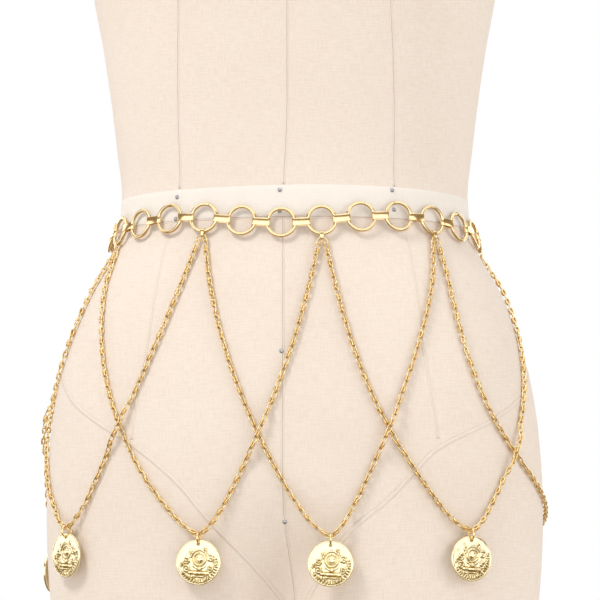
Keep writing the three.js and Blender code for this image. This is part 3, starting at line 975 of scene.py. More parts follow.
    def seam_frames(self, route: Route, step: float = 4.0) -> list[Matrix]:
        """Frames along a seam that is given by angles in degrees and heights."""
        spots = [Vector((math.radians(a), z)) for a, z in route]
        line = [self.lifted(s.x, s.y, 0.0) for s in spots]
        fine: list[Vector] = []
        for i in range(len(spots) - 1):
            before, after = spots[max(0, i - 1)], spots[min(len(spots) - 1, i + 2)]
            pieces = max(2, round((line[i + 1] - line[i]).length / step))
            for j in range(pieces + (i == len(spots) - 2)):
                fine.append(curve_point(before, spots[i], spots[i + 1], after, j / pieces))
        frames = []
        for k, spot in enumerate(fine):
            before, after = fine[max(0, k - 1)], fine[min(len(fine) - 1, k + 1)]
            here, ahead, behind = (self.lifted(s.x, s.y, 0.0) for s in (spot, after, before))
            along = (ahead - behind).normalized()
            out = self.facing(spot.x, spot.y)
            across = along.cross(out).normalized()
            frames.append(basis(across, along, out, here + out * self.seam_rise))
        return frames

    def seams(self) -> None:
        """The sewn seams: plain ones with a single line of painted crease shade, fine ones with a row of
        stitches, and felled ones with two lines: a painted shadow beside the fold and a row of stitches.
        """
        side = ((-92, 14), (-92, 120), (-92, 240), (-92, 350))
        side_top = ((-92, 373.5), (-92, 450), (-92, 540), (-92, 640))
        back_left = ((-136, 373.5), (-137, 450), (-139, 540), (-140, 640), (-140, 690))
        plain = {
            "seam_centre": self.centre_seam,
            "seam_centre_top": self.centre_seam_top,
            "seam_princess_left_top": self.princess_left_top,
            "seam_princess_right_top": mirrored(self.princess_left_top),
            "seam_side_left": side,
            "seam_side_right": mirrored(side),
            "seam_side_left_top": side_top,
            "seam_side_right_top": mirrored(side_top),
            "seam_waist": tuple((a, 350.2) for a in range(-180, 181, 45)),
            "seam_back": tuple((180, z) for z in (14, 120, 240, 350)),
            "seam_back_top": tuple((180, z) for z in (373.5, 480, 600, 700, 806)),
            "seam_back_left": back_left,
            "seam_back_right": mirrored(back_left),
        }
        fine = {
            "seam_princess_left": self.princess_left,
            "seam_princess_right": mirrored(self.princess_left),
        }
        felled = {"seam_felled_left": self.felled_left, "seam_felled_right": self.felled_right}
        tables = (
            (plain, self.seam_half, Finish.SEAM),
            (fine, self.seam_half, Finish.FINE_SEAM),
            (felled, self.felled_half, Finish.FELLED_SEAM),
        )
        for table, half, finish in tables:
            for name, route in table.items():
                bm = bmesh.new()
                layer = (bm.verts.layers.float.new("across"), bm.verts.layers.float.new("along"))
                section = seam_section(half, finish is Finish.FELLED_SEAM)
                sweep(bm, self.seam_frames(route), section, layer)
                map_from_layers(bm, layer)
                self.shop.piece(bm, Dress(name, ROOT_BODY, LINEN_SLOT, finish, (), 180.0))

    def pin_heads(self) -> bpy.types.Object:
        """The small domed heads of the pins in the cover."""
        bm = bmesh.new()
        for degrees, z in self.pins:
            angle = math.radians(degrees)
            on_tape = self.tape_low - 1 < z < self.tape_high
            frame = SKIN.frame(angle, z, 0.0)
            frame.translation = self.lifted(angle, z, 0.35 if on_tape else 0.0)
            bmesh.ops.create_uvsphere(
                bm,
                u_segments=20,
                v_segments=12,
                radius=self.pin_radius,
                matrix=frame @ Matrix.Diagonal((1.0, 1.0, self.pin_squash, 1.0)),
            )
            bmesh.ops.create_cone(
                bm,
                cap_ends=True,
                segments=24,
                radius1=self.pin_rim,
                radius2=self.pin_rim_top,
                depth=0.3,
                matrix=frame @ Matrix.Translation((0, 0, 0.12)),
            )
        return self.shop.piece(bm, Dress("pin_heads", ROOT_BODY, None, Finish.STEEL))

    def build(self) -> None:
        """Builds the cover, tape, seams and pins."""
        self.cover()
        self.tape()
        self.seams()
        self.pin_heads()


def curve_point(a: Vector, b: Vector, c: Vector, d: Vector, t: float) -> Vector:
    """A smooth curve's point between b and c, with a and d the points either side."""
    return 0.5 * (
        2 * b + (c - a) * t + (2 * a - 5 * b + 4 * c - d) * t**2 + (3 * b - a - 3 * c + d) * t**3
    )


# ---- The ring belt ----


@dataclass
class RingBelt:
    """The big wire rings with their folded clips, the hangers and the clasp."""

    shop: Workshop
    count: int = 25
    pitch: float = 28.5
    front_ring: int = 13
    front_angle: float = -0.022
    level: float = 348.2
    wave: float = 3.0
    standoff: float = 3.7
    radius: float = 9.9
    shown_wire: float = 1.26
    clip_height: float = 5.2
    clip_hole: float = 1.4
    clip_wall: float = 0.42
    clip_slack: float = 0.35
    hanger_rings: tuple[int, ...] = (2, 5, 8, 11, 14, 17, 20, 23)
    hanger_width: float = 3.0
    hanger_hole: float = 1.5
    hanger_wall: float = 0.45
    hanger_top: float = 9.8
    hanger_bottom: float = 12.6
    clasp_wall: float = 0.8
    clasp_bend: float = 2.05
    clasp_slack: float = 0.6
    clasp_back_share: float = 0.4
    clasp_tip: float = 1.2
    angles: dict[int, float] = field(default_factory=dict)
    frames: dict[int, Matrix] = field(default_factory=dict)

    def __post_init__(self) -> None:
        """Works out where each ring lies, as the part's source does."""
        self.angles[self.front_ring] = self.front_angle
        for way in (1, -1):
            k = self.front_ring
            while 1 <= k + way <= self.count:
                here, start = self.point(self.angles[k]), self.angles[k]
                gap = partial(self.miss, here)
                self.angles[k + way] = solve(gap, start + 0.05 * way, start + 0.7 * way)
                k += way
        self.frames = {k: self.ring_frame(a) for k, a in self.angles.items()}

    def miss(self, here: Vector, angle: float) -> float:
        """How much further than one pitch the belt's line at an angle is from a point."""
        return (self.point(angle) - here).length - self.pitch

    def height(self, angle: float) -> float:
        """The height of the belt's line."""
        return self.level - self.wave * math.cos(4 * angle)

    def point(self, angle: float) -> Vector:
        """A point of the belt's line."""
        return SKIN.off(angle, self.height(angle), self.standoff)

    def ring_frame(self, angle: float) -> Matrix:
        """A ring's frame: it lies on the skin and its X follows the belt's line."""
        out = SKIN.normal(angle, self.height(angle))
        line = self.point(angle + 0.01) - self.point(angle - 0.01)
        across = (line - out * line.dot(out)).normalized()
        return basis(across, out.cross(across), out, self.point(angle))

    def hanger_frame(self, number: int) -> Matrix:
        """A hanger's frame at a ring: X level, Y up the skin and Z outwards."""
        angle = self.angles[number]
        return SKIN.frame(angle, self.height(angle), self.standoff)

    def joint_frame(self, start_ring: int, end_ring: int) -> tuple[Matrix, float]:
        """The frame of the piece between two rings, X from wire to wire, and the distance."""
        start = self.frames[start_ring] @ Vector((self.radius, 0, 0))
        end = self.frames[end_ring] @ Vector((-self.radius, 0, 0))
        along = (end - start).normalized()
        mean = self.frames[start_ring].col[2].to_3d() + self.frames[end_ring].col[2].to_3d()
        width = along.cross(mean).normalized()
        return basis(along, width.cross(along), width, start), (end - start).length

    def link(self, number: int) -> bpy.types.Object:
        """One ring, its wire's ends meeting at the top, with the clip that holds the next ring."""
        ring = wire_loop(2 * self.radius, 2 * self.radius, self.shown_wire, 56, 14, 1.6)
        soften(ring, 0.16, 1)
        # Painted shade on the wire's sides and underside, towards the cloth.
        paint_underside_shade(ring, self.shown_wire)
        bm = bmesh.new()
        slit = Matrix.Rotation(math.radians((number * 37) % 50 - 25), 4, "Z")
        join(bm, ring, self.frames[number] @ slit)
        ring.free()
        if number < self.count:
            frame, reach = self.joint_frame(number, number + 1)
            slack = self.clip_slack
            clip = strip_loop(
                -slack, reach + slack, self.clip_hole, self.clip_wall, self.clip_height, 24
            )
            join(bm, clip, frame)
            clip.free()
        name = f"link_{number:02d}"
        dress = Dress(f"ring_{name}", ROOT_BODY, GOLD_SLOT, Finish.RING_GOLD, (name,))
        return self.shop.piece(bm, dress)

    def hanger(self, number: int) -> bpy.types.Object:
        """A strip loop over the bottom of a ring, narrower at its foot."""
        length = self.hanger_bottom - self.hanger_top
        loop = strip_loop(0.0, length, self.hanger_hole, self.hanger_wall, self.hanger_width)
        for v in loop.verts:
            v.co.z *= 1.0 - 0.42 * ease((v.co.x - 0.4) / (length + 1.0))
        down, out = Vector((0, -1, 0)), Vector((0, 0, 1))
        drop = basis(down, out, down.cross(out), Vector((0, -self.hanger_top, 0)))
        bm = bmesh.new()
        join(bm, loop, self.hanger_frame(number) @ drop)
        loop.free()
        name = f"hanger_{number:02d}"
        dress = Dress(f"{name}_loop", ROOT_BODY, GOLD_SLOT, Finish.RING_GOLD, (name,))
        return self.shop.piece(bm, dress)

    def clasp(self) -> bpy.types.Object:
        """The strip hook at the back, bent round both end rings and open on the inside."""
        frame, reach = self.joint_frame(self.count, 1)
        bend, wall, slack = self.clasp_bend, self.clasp_wall * 0.8, self.clasp_slack
        bm = bmesh.new()
        start = Vector((self.clasp_back_share * reach, -bend, 0))
        half, tall = wall / 2, self.clip_height / 2
        corners = ((-half, -tall), (half, -tall), (half, tall), (-half, tall))
        end = [bm.faces.new([bm.verts.new(start + Vector((0, y, z))) for y, z in corners])]
        end = self.run(bm, end, Vector((-slack - start.x, 0, 0)))
        end = self.bend(bm, end, Vector((-slack, 0, 0)), -math.pi)
        end = self.run(bm, end, Vector((reach + 2 * slack, 0, 0)))
        end = self.bend(bm, end, Vector((reach + slack, 0, 0)), -math.pi)
        self.run(bm, end, Vector((-self.clasp_tip - slack, 0, 0)))
        bmesh.ops.recalc_face_normals(bm, faces=bm.faces)
        soften(bm, 0.18)
        bmesh.ops.transform(bm, matrix=frame, verts=bm.verts)
        dress = Dress("clasp_hook", ROOT_BODY, GOLD_SLOT, Finish.RING_GOLD, ("clasp",))
        return self.shop.piece(bm, dress)

    @staticmethod
    def run(bm: bmesh.types.BMesh, faces: list, step: Vector) -> list:
        """Carries a strip's end face straight on and returns the new end face."""
        made = bmesh.ops.extrude_face_region(bm, geom=faces)["geom"]
        bmesh.ops.translate(bm, verts=of_kind(made, bmesh.types.BMVert), vec=step)
        if len(bm.faces) > 6:
            bmesh.ops.delete(bm, geom=faces, context="FACES_ONLY")
        return of_kind(made, bmesh.types.BMFace)

    @staticmethod
    def bend(bm: bmesh.types.BMesh, faces: list, centre: Vector, angle: float) -> list:
        """Carries a strip's end face round a bend and returns the new end face."""
        edges = list({e for f in faces for e in f.edges})
        verts = list({v for f in faces for v in f.verts})
        made = bmesh.ops.spin(
            bm, geom=verts + edges + faces, cent=centre, axis=(0, 0, 1), angle=angle, steps=8, use_merge=False
        )["geom_last"]
        return of_kind(made, bmesh.types.BMFace)

    def build(self) -> None:
        """Builds the rings, hangers and clasp."""
        for number in range(1, self.count + 1):
            self.link(number)
        for number in self.hanger_rings:
            self.hanger(number)
        self.clasp()


# ---- The chain swags ----


@dataclass(frozen=True)
class Side:
    """One side of a swag: its straight share, the power of its bend and its lean round the form."""

    vee: float
    curve: float
    lean: float

    def climb(self, share: float) -> float:
        """How far the side has risen, from 0 at the swag's bottom to 1 at its end."""
        even = (math.hypot(share, VEE_ROUND) - VEE_ROUND) / (math.hypot(1, VEE_ROUND) - VEE_ROUND)
        return self.vee * even + (1 - self.vee) * share**self.curve

    def reach(self, share: float) -> float:
        """How far the side has gone round the form, from 0 to 1."""
        return share + LEAN_SCALE * self.lean * share**3 * (1 - share)


@dataclass(frozen=True)
class Swag:
    """A swag's chain length, how far its bottom has slid round the form, and its two sides."""

    length: float
    slide: float
    left: Side
    right: Side


@dataclass
class SwagChains:
    """The six hanging chains: double oval links that alternate with single ones."""

    shop: Workshop
    belt: RingBelt
    swags: tuple[Swag, ...] = (
        Swag(517, 0.197, Side(0.7, 4, 0), Side(0.7, 4, 0)),
        Swag(483, 0.086, Side(0.7, 3, -0.05), Side(0.76, 4.3, -0.02)),
        Swag(471.5, 0.028, Side(0.54, 3.6, -0.08), Side(0.77, 4.4, -0.02)),
        Swag(472, 0.06, Side(0.54, 2.5, 0), Side(0.83, 7.2, -0.088)),
        Swag(476.5, 0.002, Side(0.63, 6.6, -0.035), Side(0.95, 1.5, -0.012)),
        Swag(546, 0.27, Side(0.25, 3.9, 0.21), Side(0.7, 4, 0)),
    )
    end_gap: float = 1.2
    end_side: float = 2.3
    source_hanger_hole: float = 1.65
    source_hanger_wall: float = 0.45
    stand: float = 2.1
    lift: float = 3.1
    lift_flat: float = 9.0
    lift_ramp: float = 24.0
    pendant_stand: float = 5.3
    pendant_ramp: float = 30.0
    period: float = 8.4
    pair_length: float = 4.9
    pair_width: float = 2.5
    pair_wire: float = 0.56
    pair_stack: float = 0.7
    single_length: float = 5.6
    single_width: float = 2.9
    single_wire: float = 0.54
    bottom_rise: float = 0.6
    bottom_width: float = 1.9
    bottom_tilt_deg: float = -37.5
    bottom_drop: float = 1.1
    foot_side: float = 0.75
    foot_gap: float = 0.9
    foot_reach: float = 1.75
    foot_roll: float = 0.3
    wave_deg: float = 24.0
    wave_step: float = 0.33
    single_loose_deg: float = 28.0
    pair_loose_deg: float = 34.0
    tilt_loose_deg: float = 4.0
    ends: dict[tuple[int, int], tuple[float, float, float]] = field(default_factory=dict)

    def chain_end(self, number: int, side: int) -> tuple[float, float, float]:
        """The angle, height and standoff at which a chain starts below a hanger."""
        angle = self.belt.angles[number]
        depth = self.belt.hanger_bottom + self.source_hanger_hole + self.source_hanger_wall + self.end_gap
        foot = self.belt.hanger_frame(number) @ Vector((0, -depth, 0))
        stand = (foot - SKIN.point(angle, foot.z)).dot(SKIN.normal(angle, foot.z))
        turn = side * self.end_side / math.hypot(foot.x, foot.y)
        return angle + turn, foot.z, stand

    def __post_init__(self) -> None:
        """Works out the V of every swag, as the part's source does."""
        rings = self.belt.hanger_rings
        self.lines = [self.swag_line(i, rings[i], rings[i + 2]) for i in range(len(self.swags))]
        self.tracks = [self.track(i) for i in range(len(self.swags))]
        self.crossings = [self.crossing(i) for i in range(len(self.swags))]

    def swag_line(self, index: int, start: int, end: int) -> dict[str, object]:
        """One swag's line: its ends, middle angle and lowest height."""
        swag = self.swags[index]
        left, right = self.chain_end(start, 1), self.chain_end(end, -1)
        middle = (left[0] + right[0]) / 2 + swag.slide
        line = {"left": left, "right": right, "middle": middle, "swag": swag}

        def length(low: float) -> float:
            spots = [self.spot(line, 2 * i / 120 - 1, low) for i in range(121)]
            points = [SKIN.off(a, z, self.stand) for a, z in spots]
            return sum((points[i + 1] - points[i]).length for i in range(120)) - swag.length

        top = left[1]
        line["low"] = solve(length, right[1] - swag.length / 2, right[1] - swag.length / 4, 22)
        LOG.info("swag %d: foot %.1f, bottom %.1f", index + 1, top, line["low"])
        return line

    @staticmethod
    def end_of(line: dict, u: float) -> tuple[float, float, float]:
        """The end on the side of u."""
        return line["left"] if u < 0 else line["right"]

    def spot(self, line: dict, u: float, low: float) -> tuple[float, float]:
        """The angle and height of a swag at u, from -1 at its left end to 1 at its right end."""
        end, share = self.end_of(line, u), abs(u)
        side = line["swag"].left if u < 0 else line["swag"].right
        angle = line["middle"] + (end[0] - line["middle"]) * side.reach(share)
        return angle, low + (end[1] - low) * side.climb(share)

    def track(self, index: int, steps: int = 600) -> list[tuple[float, float]]:
        """The run along a swag on the skin against u."""
        line = self.lines[index]
        run, last, made = 0.0, None, []
        for i in range(steps + 1):
            u = 2 * i / steps - 1
            point = SKIN.point(*self.spot(line, u, line["low"]))
            run += (point - last).length if last is not None else 0.0
            last = point
            made.append((u, run))
        return made

    def run_at(self, index: int, u: float) -> float:
        """The run at u."""
        track = self.tracks[index]
        place = (u + 1) / 2 * (len(track) - 1)
        i = min(len(track) - 2, max(0, int(place)))
        return track[i][1] + (track[i + 1][1] - track[i][1]) * (place - i)

    def u_at(self, index: int, run: float) -> float:
        """The u at a run along the swag."""
        track = self.tracks[index]
        low, high = 0, len(track) - 1
        while high - low > 1:
            middle = (low + high) // 2
            if track[middle][1] > run:
                high = middle
            else:
                low = middle
        share = (run - track[low][1]) / max(1e-9, track[high][1] - track[low][1])
        return track[low][0] + (track[high][0] - track[low][0]) * share

    def crossing(self, index: int) -> float | None:
        """Where a swag's right side meets the next one's left side, as its run, or None at the last."""
        if index + 1 >= len(self.lines):
            return None
        here, after = self.lines[index], self.lines[index + 1]

        def gap(u: float) -> float:
            """How far this swag is past the next one, at the same height."""
            angle, z = self.spot(here, u, here["low"])
            level = solve(lambda v: self.spot(after, v, after["low"])[1] - z, -1, 0)
            return angle - self.spot(after, level, after["low"])[0]

        return self.run_at(index, solve(gap, 0.05, 0.95))

    def point(self, index: int, run: float) -> tuple[Vector, Vector]:
        """The chain's middle and the outward direction at a run along it."""
        line, whole = self.lines[index], self.tracks[index][-1][1]
        low = self.run_at(index, 0.0)
        u = self.u_at(index, min(whole, max(0.0, run)))
        angle, z = self.spot(line, u, line["low"])
        stand = self.stand
        near_end = fade(min(run, whole - run), 0, self.pendant_ramp)
        stand += (self.end_of(line, u)[2] - self.stand) * near_end
        stand += (self.pendant_stand - self.stand) * fade(run - low, 1, self.pendant_ramp)
        crossed = self.crossings[index]
        if crossed is not None:
            stand += self.lift * fade(run - crossed, self.lift_flat, self.lift_ramp)
        out = SKIN.normal(angle, z)
        across = UP.cross(out).normalized()
        climb = out.cross(across)
        return SKIN.off(angle, z, stand) + climb * self.bottom_rise * fade(run - low, 7, 24), out

    def frame(self, index: int, run: float, roll: float) -> Matrix:
        """A link's frame: X along the chain, Z outwards, rolled about X."""
        at, out = self.point(index, run)
        ahead, _ = self.point(index, run + 1.0)
        behind, _ = self.point(index, run - 1.0)
        along = (ahead - behind).normalized()
        side = out.cross(along).normalized()
        return basis(along, side, along.cross(side), at) @ Matrix.Rotation(roll, 4, "X")

    def pair(self) -> bmesh.types.BMesh:
        """Two equal ovals side by side, with painted shade inside them and between them."""
        oval = wire_loop(self.pair_length, self.pair_width, self.pair_wire, 10, 6)
        both = bmesh.new()
        for way in (-1, 1):
            join(both, oval, Matrix.Translation((0, 0, way * self.pair_stack)))
        oval.free()
        paint_loop_shade(both, self.pair_wire, 0.5 * self.pair_stack)
        return both

    def chain(self, index: int) -> bpy.types.Object:
        """One swag's links, spaced from its bottom link to both hangers."""
        chance = random.Random(11 + index)
        bm = bmesh.new()
        pair = self.pair()
        single = wire_loop(self.single_length, self.single_width, self.single_wire, 10, 6)
        paint_loop_shade(single, self.single_wire)
        low, whole = self.run_at(index, 0.0), self.tracks[index][-1][1]
        for way, reach in ((-1, low), (1, whole - low)):
            steps = round((reach - 0.6) / self.period - 0.5)
            step = (reach + 0.2) / (steps + 0.5)
            turn = chance.uniform(0, 6)
            for k in range(steps + 1):
                lean = self.wave_deg * math.sin(self.wave_step * k + turn)
                if k:
                    loose = chance.uniform(-self.single_loose_deg, self.single_loose_deg)
                    twist = math.radians(lean + loose)
                    join(bm, single, self.frame(index, low + way * step * k, twist))
                if k < steps:
                    loose = chance.uniform(-self.pair_loose_deg, self.pair_loose_deg)
                    roll = math.radians(90 + lean + loose)
                    skew = chance.uniform(-self.tilt_loose_deg, self.tilt_loose_deg)
                    tilt = Matrix.Rotation(math.radians(skew), 4, "Z")
                    join(bm, pair, self.frame(index, low + way * step * (k + 0.5), roll) @ tilt)
            self.end_ring(bm, single, index, way)
        self.bottom_link(bm, index, low)
        pair.free()
        single.free()
        name = f"swag_{index + 1}"
        dress = Dress(f"{name}_chain", ROOT_BODY, GOLD_SLOT, Finish.CHAIN_GOLD, (name,), 180.0)
        return self.shop.piece(bm, dress)

    def bottom_link(self, bm: bmesh.types.BMesh, index: int, low: float) -> None:
        """The narrow link that the jump ring goes round, tilted so that the ring can swing."""
        link = wire_loop(self.single_length, self.bottom_width, self.single_wire, 10, 6)
        paint_loop_shade(link, self.single_wire)
        back = Matrix.Translation((0, -self.bottom_rise, 0))
        tilt = Matrix.Rotation(math.radians(self.bottom_tilt_deg), 4, "X")
        drop = Matrix.Translation((0, -self.bottom_drop, 0))
        join(bm, link, self.frame(index, low, 0.0) @ back @ tilt @ drop)
        link.free()

    def end_ring(self, bm: bmesh.types.BMesh, small: bmesh.types.BMesh, index: int, way: int) -> None:
        """The small ring that joins a chain's end to its hanger's foot."""
        number = self.belt.hanger_rings[index if way < 0 else index + 2]
        side = -way
        end = self.chain_end(number, side)
        frame = self.belt.hanger_frame(number)
        top = frame @ Vector((side * self.foot_side, -self.belt.hanger_bottom - self.foot_gap, 0.0))
        foot = SKIN.off(end[0], end[1], end[2])
        along = (foot - top).normalized()
        out = frame.col[2].to_3d()
        across = out.cross(along).normalized()
        place = basis(along, across, along.cross(across), top + along * self.foot_reach)
        join(bm, small, place @ Matrix.Rotation(self.foot_roll * side, 4, "X"))

    def build(self) -> None:
        """Builds every swag."""
        for index in range(len(self.swags)):
            self.chain(index)


def paint_loop_shade(bm: bmesh.types.BMesh, wire: float, between: float = 0.0) -> None:
    """Writes painted shade into a depth attribute, higher on the inside of wire loops that lie along the XY
    plane.

    Args:
        bm: The loop, or two loops with a gap at Z = 0.
        wire: The wire's radius.
        between: The height up to which the sides that face each other get painted shade, or 0 for one loop.
    """
    layer = bm.verts.layers.float.new("depth")
    wide = max(v.co.y for v in bm.verts)
    long = max(v.co.x for v in bm.verts)
    for v in bm.verts:
        straight = max(0.0, abs(v.co.x) - (long - wide))
        inward = 1.0 - ease((math.hypot(straight, v.co.y) - (wide - 2 * wire)) / (1.1 * wire))
        facing = 1.0 - ease((abs(v.co.z) - between) / wire) if between else 0.0
        # Painted shade inside the loop and between the two ovals.
        v[layer] = 0.65 * max(inward, facing)


def paint_underside_shade(bm: bmesh.types.BMesh, wire: float) -> None:
    """Writes painted shade into a depth attribute, higher on a wire's sides and underside, near the cloth."""
    layer = bm.verts.layers.float.new("depth")
    for v in bm.verts:
        v[layer] = 0.6 * (1.0 - ease((v.co.z / wire - 0.1) / 0.6))


# ---- The coins ----


@dataclass
class CoinPendants:
    """The six relief coins and the jump rings that they hang on."""

    shop: Workshop
    joints: dict[str, dict]
    count: int = 6
    coin_radius: float = 15.9
    half_thick: float = 1.0
    hole_radius: float = 1.4
    hole_sag: float = 0.25
    hole_inset: float = 3.3
    jump_radius: float = 4.0
    jump_wire: float = 0.72
    rings: int = 52
    segments: int = 168
    relief_scale: float = 1.2
    boss: tuple[float, float] = (0.9, 2.2)
    scrolls: tuple[tuple[float, float, float, int], ...] = (
        (-8.3, 1.6, 2.7, 1), (8.9, 2.6, 2.9, -1), (-8.6, -4.6, 2.9, -1), (8.4, -4.4, 2.7, 1),
        (-4.4, -9.6, 2.2, 1), (4.8, 8.6, 2.0, 1), (11.8, -0.9, 1.7, -1), (-11.9, -1.4, 1.7, 1),
        (-5.2, 6.4, 1.7, -1), (5.2, -10.9, 2.0, -1),
    )

    @staticmethod
    def scroll(x: float, y: float, size: float, hand: int) -> float:
        """A curled leaf about the origin: a spiral ridge that fades at its edge."""
        r, turn = math.hypot(x, y), math.atan2(y, x)
        wave = 0.5 + 0.5 * math.cos(hand * turn + 2 * math.pi * r / (0.72 * size))
        return 0.62 * wave * fade(r, 0.7 * size, 1.15 * size)

    def relief(self, x: float, y: float) -> float:
        """The height of the face's relief: a ringed boss, curled leaves, a bar and rim strokes."""
        radius = math.hypot(x, y)
        r = math.hypot(x - self.boss[0], y - self.boss[1])
        turn = math.atan2(y - self.boss[1], x - self.boss[0])
        height = 0.95 * fade(r, 1.1, 2.9)
        height += 0.6 * fade(r - 4.2, 0.15, 0.85)
        broken = 0.3 + 0.7 * ease(0.5 + 1.4 * math.sin(3 * turn + 0.6))
        height += 0.55 * fade(r - 6.3, 0.2, 0.9) * broken
        for cx, cy, size, hand in self.scrolls:
            if abs(x - cx) < 1.2 * size and abs(y - cy) < 1.2 * size:
                height = max(height, self.scroll(x - cx, y - cy, size, hand))
        bar = y + 7.3 + 0.06 * x
        height = max(height, 0.9 * fade(bar, 0.55, 1.2) * fade(x, 6.2, 8.0))
        height = max(height, 0.6 * fade(bar + 2.4, 0.3, 0.85) * fade(x + 0.8, 3.6, 5.4))
        height = max(height, 0.85 * fade(math.hypot(x - 0.8, y + 4.4), 0.8, 1.9))
        around = math.atan2(y, x)
        strokes = 0.5 + 0.5 * math.sin(44 * around + 0.9 * math.sin(5 * around))
        low = ease((0.05 - math.sin(around - 0.35)) / 0.4)
        height = max(height, 0.55 * strokes * fade(radius - 13.1, 0.7, 1.5) * low)
        return height * fade(radius, 14.4, 15.3)

    def recess(self, x: float, y: float) -> float:
        """How far a spot lies below the relief round it, from 0 to 1."""
        height = self.relief(x, y)
        spread = [math.pi * k / 4 for k in range(8)]
        near = [self.relief(x + 0.9 * math.cos(a), y + 0.9 * math.sin(a)) for a in spread]
        around = sum(near) / len(near)
        rows = math.sin(1.05 * y + 0.7 * math.sin(0.9 * x))
        patch = 0.5 + 0.5 * math.sin(0.85 * x + 1.4 + math.sin(0.6 * y)) * rows
        # Noise patches, darker towards the lower left.
        lower_left_patches = 0.45 * ease((patch - 0.45) / 0.4) * ease((2.0 - y - 0.3 * x) / 12)
        return max(lower_left_patches, ease((around - height - 0.02) / 0.25))

    @staticmethod
    def lower_left_weight(x: float, y: float) -> float:
        """How much of the recess darkening is kept: more towards the lower left, most of it along the lower
        rim.
        """
        return 0.25 + 0.75 * ease(0.5 - (y + 0.4 * x) / 20)

    def template(self) -> bpy.types.Mesh:
        """One coin about its own middle, front towards +Z, in millimetres and with its hole cut."""
        bm = bmesh.new()
        bmesh.ops.create_circle(bm, cap_ends=False, radius=self.coin_radius, segments=self.segments)
        start = bm.edges[:]
        thick, reach = self.half_thick, self.coin_radius
        profile = [(reach, 0.35), (reach - 0.12, 0.7), (reach - 0.4, 0.95), (reach - 0.8, thick)]
        inside = reach - 1.25
        profile += [(reach - 1.1, 0.85), (inside, 0.55)]
        profile += [(inside * (1 - (k / self.rings) ** 0.92), 0.5) for k in range(1, self.rings)]
        centre = self.grow(bm, start, profile)
        bmesh.ops.contextual_create(bm, geom=centre)
        back = [(reach - 0.1, -0.6), (reach - 0.5, -0.95), (reach - 1.0, -thick)]
        back += [(11.0, -thick), (6.0, -thick * 0.96)]
        bmesh.ops.contextual_create(bm, geom=self.grow(bm, start, back))
        layer = bm.verts.layers.float.new("depth")
        for v in bm.verts:
            radius = math.hypot(v.co.x, v.co.y)
            if v.co.z > 0.3 and radius < reach - 1.0:
                upper = 1.0 - ease((radius - 14.4) / 0.9)
                # Recess darkening, as patina, weighted towards the lower left.
                v[layer] = self.recess(v.co.x, v.co.y) * self.lower_left_weight(v.co.x, v.co.y)
                swell = 0.28 * ease((v.co.y - 3.0) / 6.0)
                swell += 0.05 * math.sin(0.7 * v.co.x + 1) * math.sin(0.8 * v.co.y)
                v.co.z += upper * swell + self.relief_scale * self.relief(v.co.x, v.co.y)
        bmesh.ops.recalc_face_normals(bm, faces=bm.faces)
        mesh = bpy.data.meshes.new("coin_blank")
        bm.to_mesh(mesh)
        bm.free()
        return self.pierced(mesh)

    @staticmethod
    def grow(bm: bmesh.types.BMesh, edges: list, profile: Sequence[tuple[float, float]]) -> list:
        """Extrudes a circle through radii and heights and returns the last edges."""
        for radius, height in profile:
            fresh, edges = extrude_edges(bm, edges)
            for v in fresh:
                flat = Vector((v.co.x, v.co.y, 0)).normalized() * radius
                v.co = Vector((flat.x, flat.y, height))
        return edges

    def pierced(self, mesh: bpy.types.Mesh) -> bpy.types.Mesh:
        """Cuts the hanging hole with a Boolean and returns the new mesh."""
        drill = bmesh.new()
        place = Matrix.Translation((0, self.coin_radius - self.hole_inset, 0))
        bmesh.ops.create_cone(
            drill,
            cap_ends=True,
            segments=28,
            radius1=self.hole_radius,
            radius2=self.hole_radius,
            depth=8,
            matrix=place,
        )
        cutter_mesh = bpy.data.meshes.new("coin_drill")
        drill.to_mesh(cutter_mesh)
        drill.free()
        blank = bpy.data.objects.new("coin_blank", mesh)
        cutter = bpy.data.objects.new("coin_drill", cutter_mesh)
        for piece in (blank, cutter):
            bpy.context.scene.collection.objects.link(piece)
        cut = blank.modifiers.new("hole", "BOOLEAN")
        cut.object, cut.operation, cut.solver = cutter, "DIFFERENCE", "EXACT"
        bpy.context.view_layer.update()
        graph = bpy.context.evaluated_depsgraph_get()
        made = bpy.data.meshes.new_from_object(blank.evaluated_get(graph))
        for piece in (blank, cutter):
            bpy.data.objects.remove(piece)
        return made

    def coin_frame(self, number: int) -> Matrix:
        """A coin's frame where it hangs on its jump ring's wire: X level, Y up and Z outwards."""
        joint = self.joints[f"sway_{number}"]
        out = Vector(joint["axis"]).normalized()
        return basis(UP.cross(out).normalized(), UP.copy(), out, Vector(joint["pos_m"]) / MM)

    def coin(self, number: int, template: bpy.types.Mesh) -> bpy.types.Object:
        """One coin, hung by its hole."""
        drop = self.coin_radius - self.hole_inset + self.hole_sag
        place = self.coin_frame(number) @ Matrix.Translation((0, -drop, 0))
        mesh = template.copy()
        mesh.name = f"coin_relief_{number}"
        mesh.transform(Matrix.Scale(MM, 4) @ place)
        name = f"coin_{number}"
        dress = Dress(f"{name}_relief", f"pendant_{number}", GOLD_SLOT, Finish.COIN_GOLD, (name,), 35.0)
        return self.shop.dress(mesh, dress)

    def jump_ring(self, number: int) -> bpy.types.Object:
        """One jump ring, square to the coin's face, its slit near the top."""
        ring = wire_loop(2 * self.jump_radius, 2 * self.jump_radius, self.jump_wire, 32, 10, 4.0)
        paint_loop_shade(ring, self.jump_wire)
        frame = self.coin_frame(number) @ Matrix.Translation((0, self.jump_radius, 0))
        bm = bmesh.new()
        join(bm, ring, frame @ Matrix.Rotation(math.pi / 2, 4, "Y") @ Matrix.Rotation(0.5, 4, "Z"))
        ring.free()
        name = f"jump_ring_{number}"
        dress = Dress(f"{name}_wire", f"ring_{number}", GOLD_SLOT, Finish.CHAIN_GOLD, (name,))
        return self.shop.piece(bm, dress)

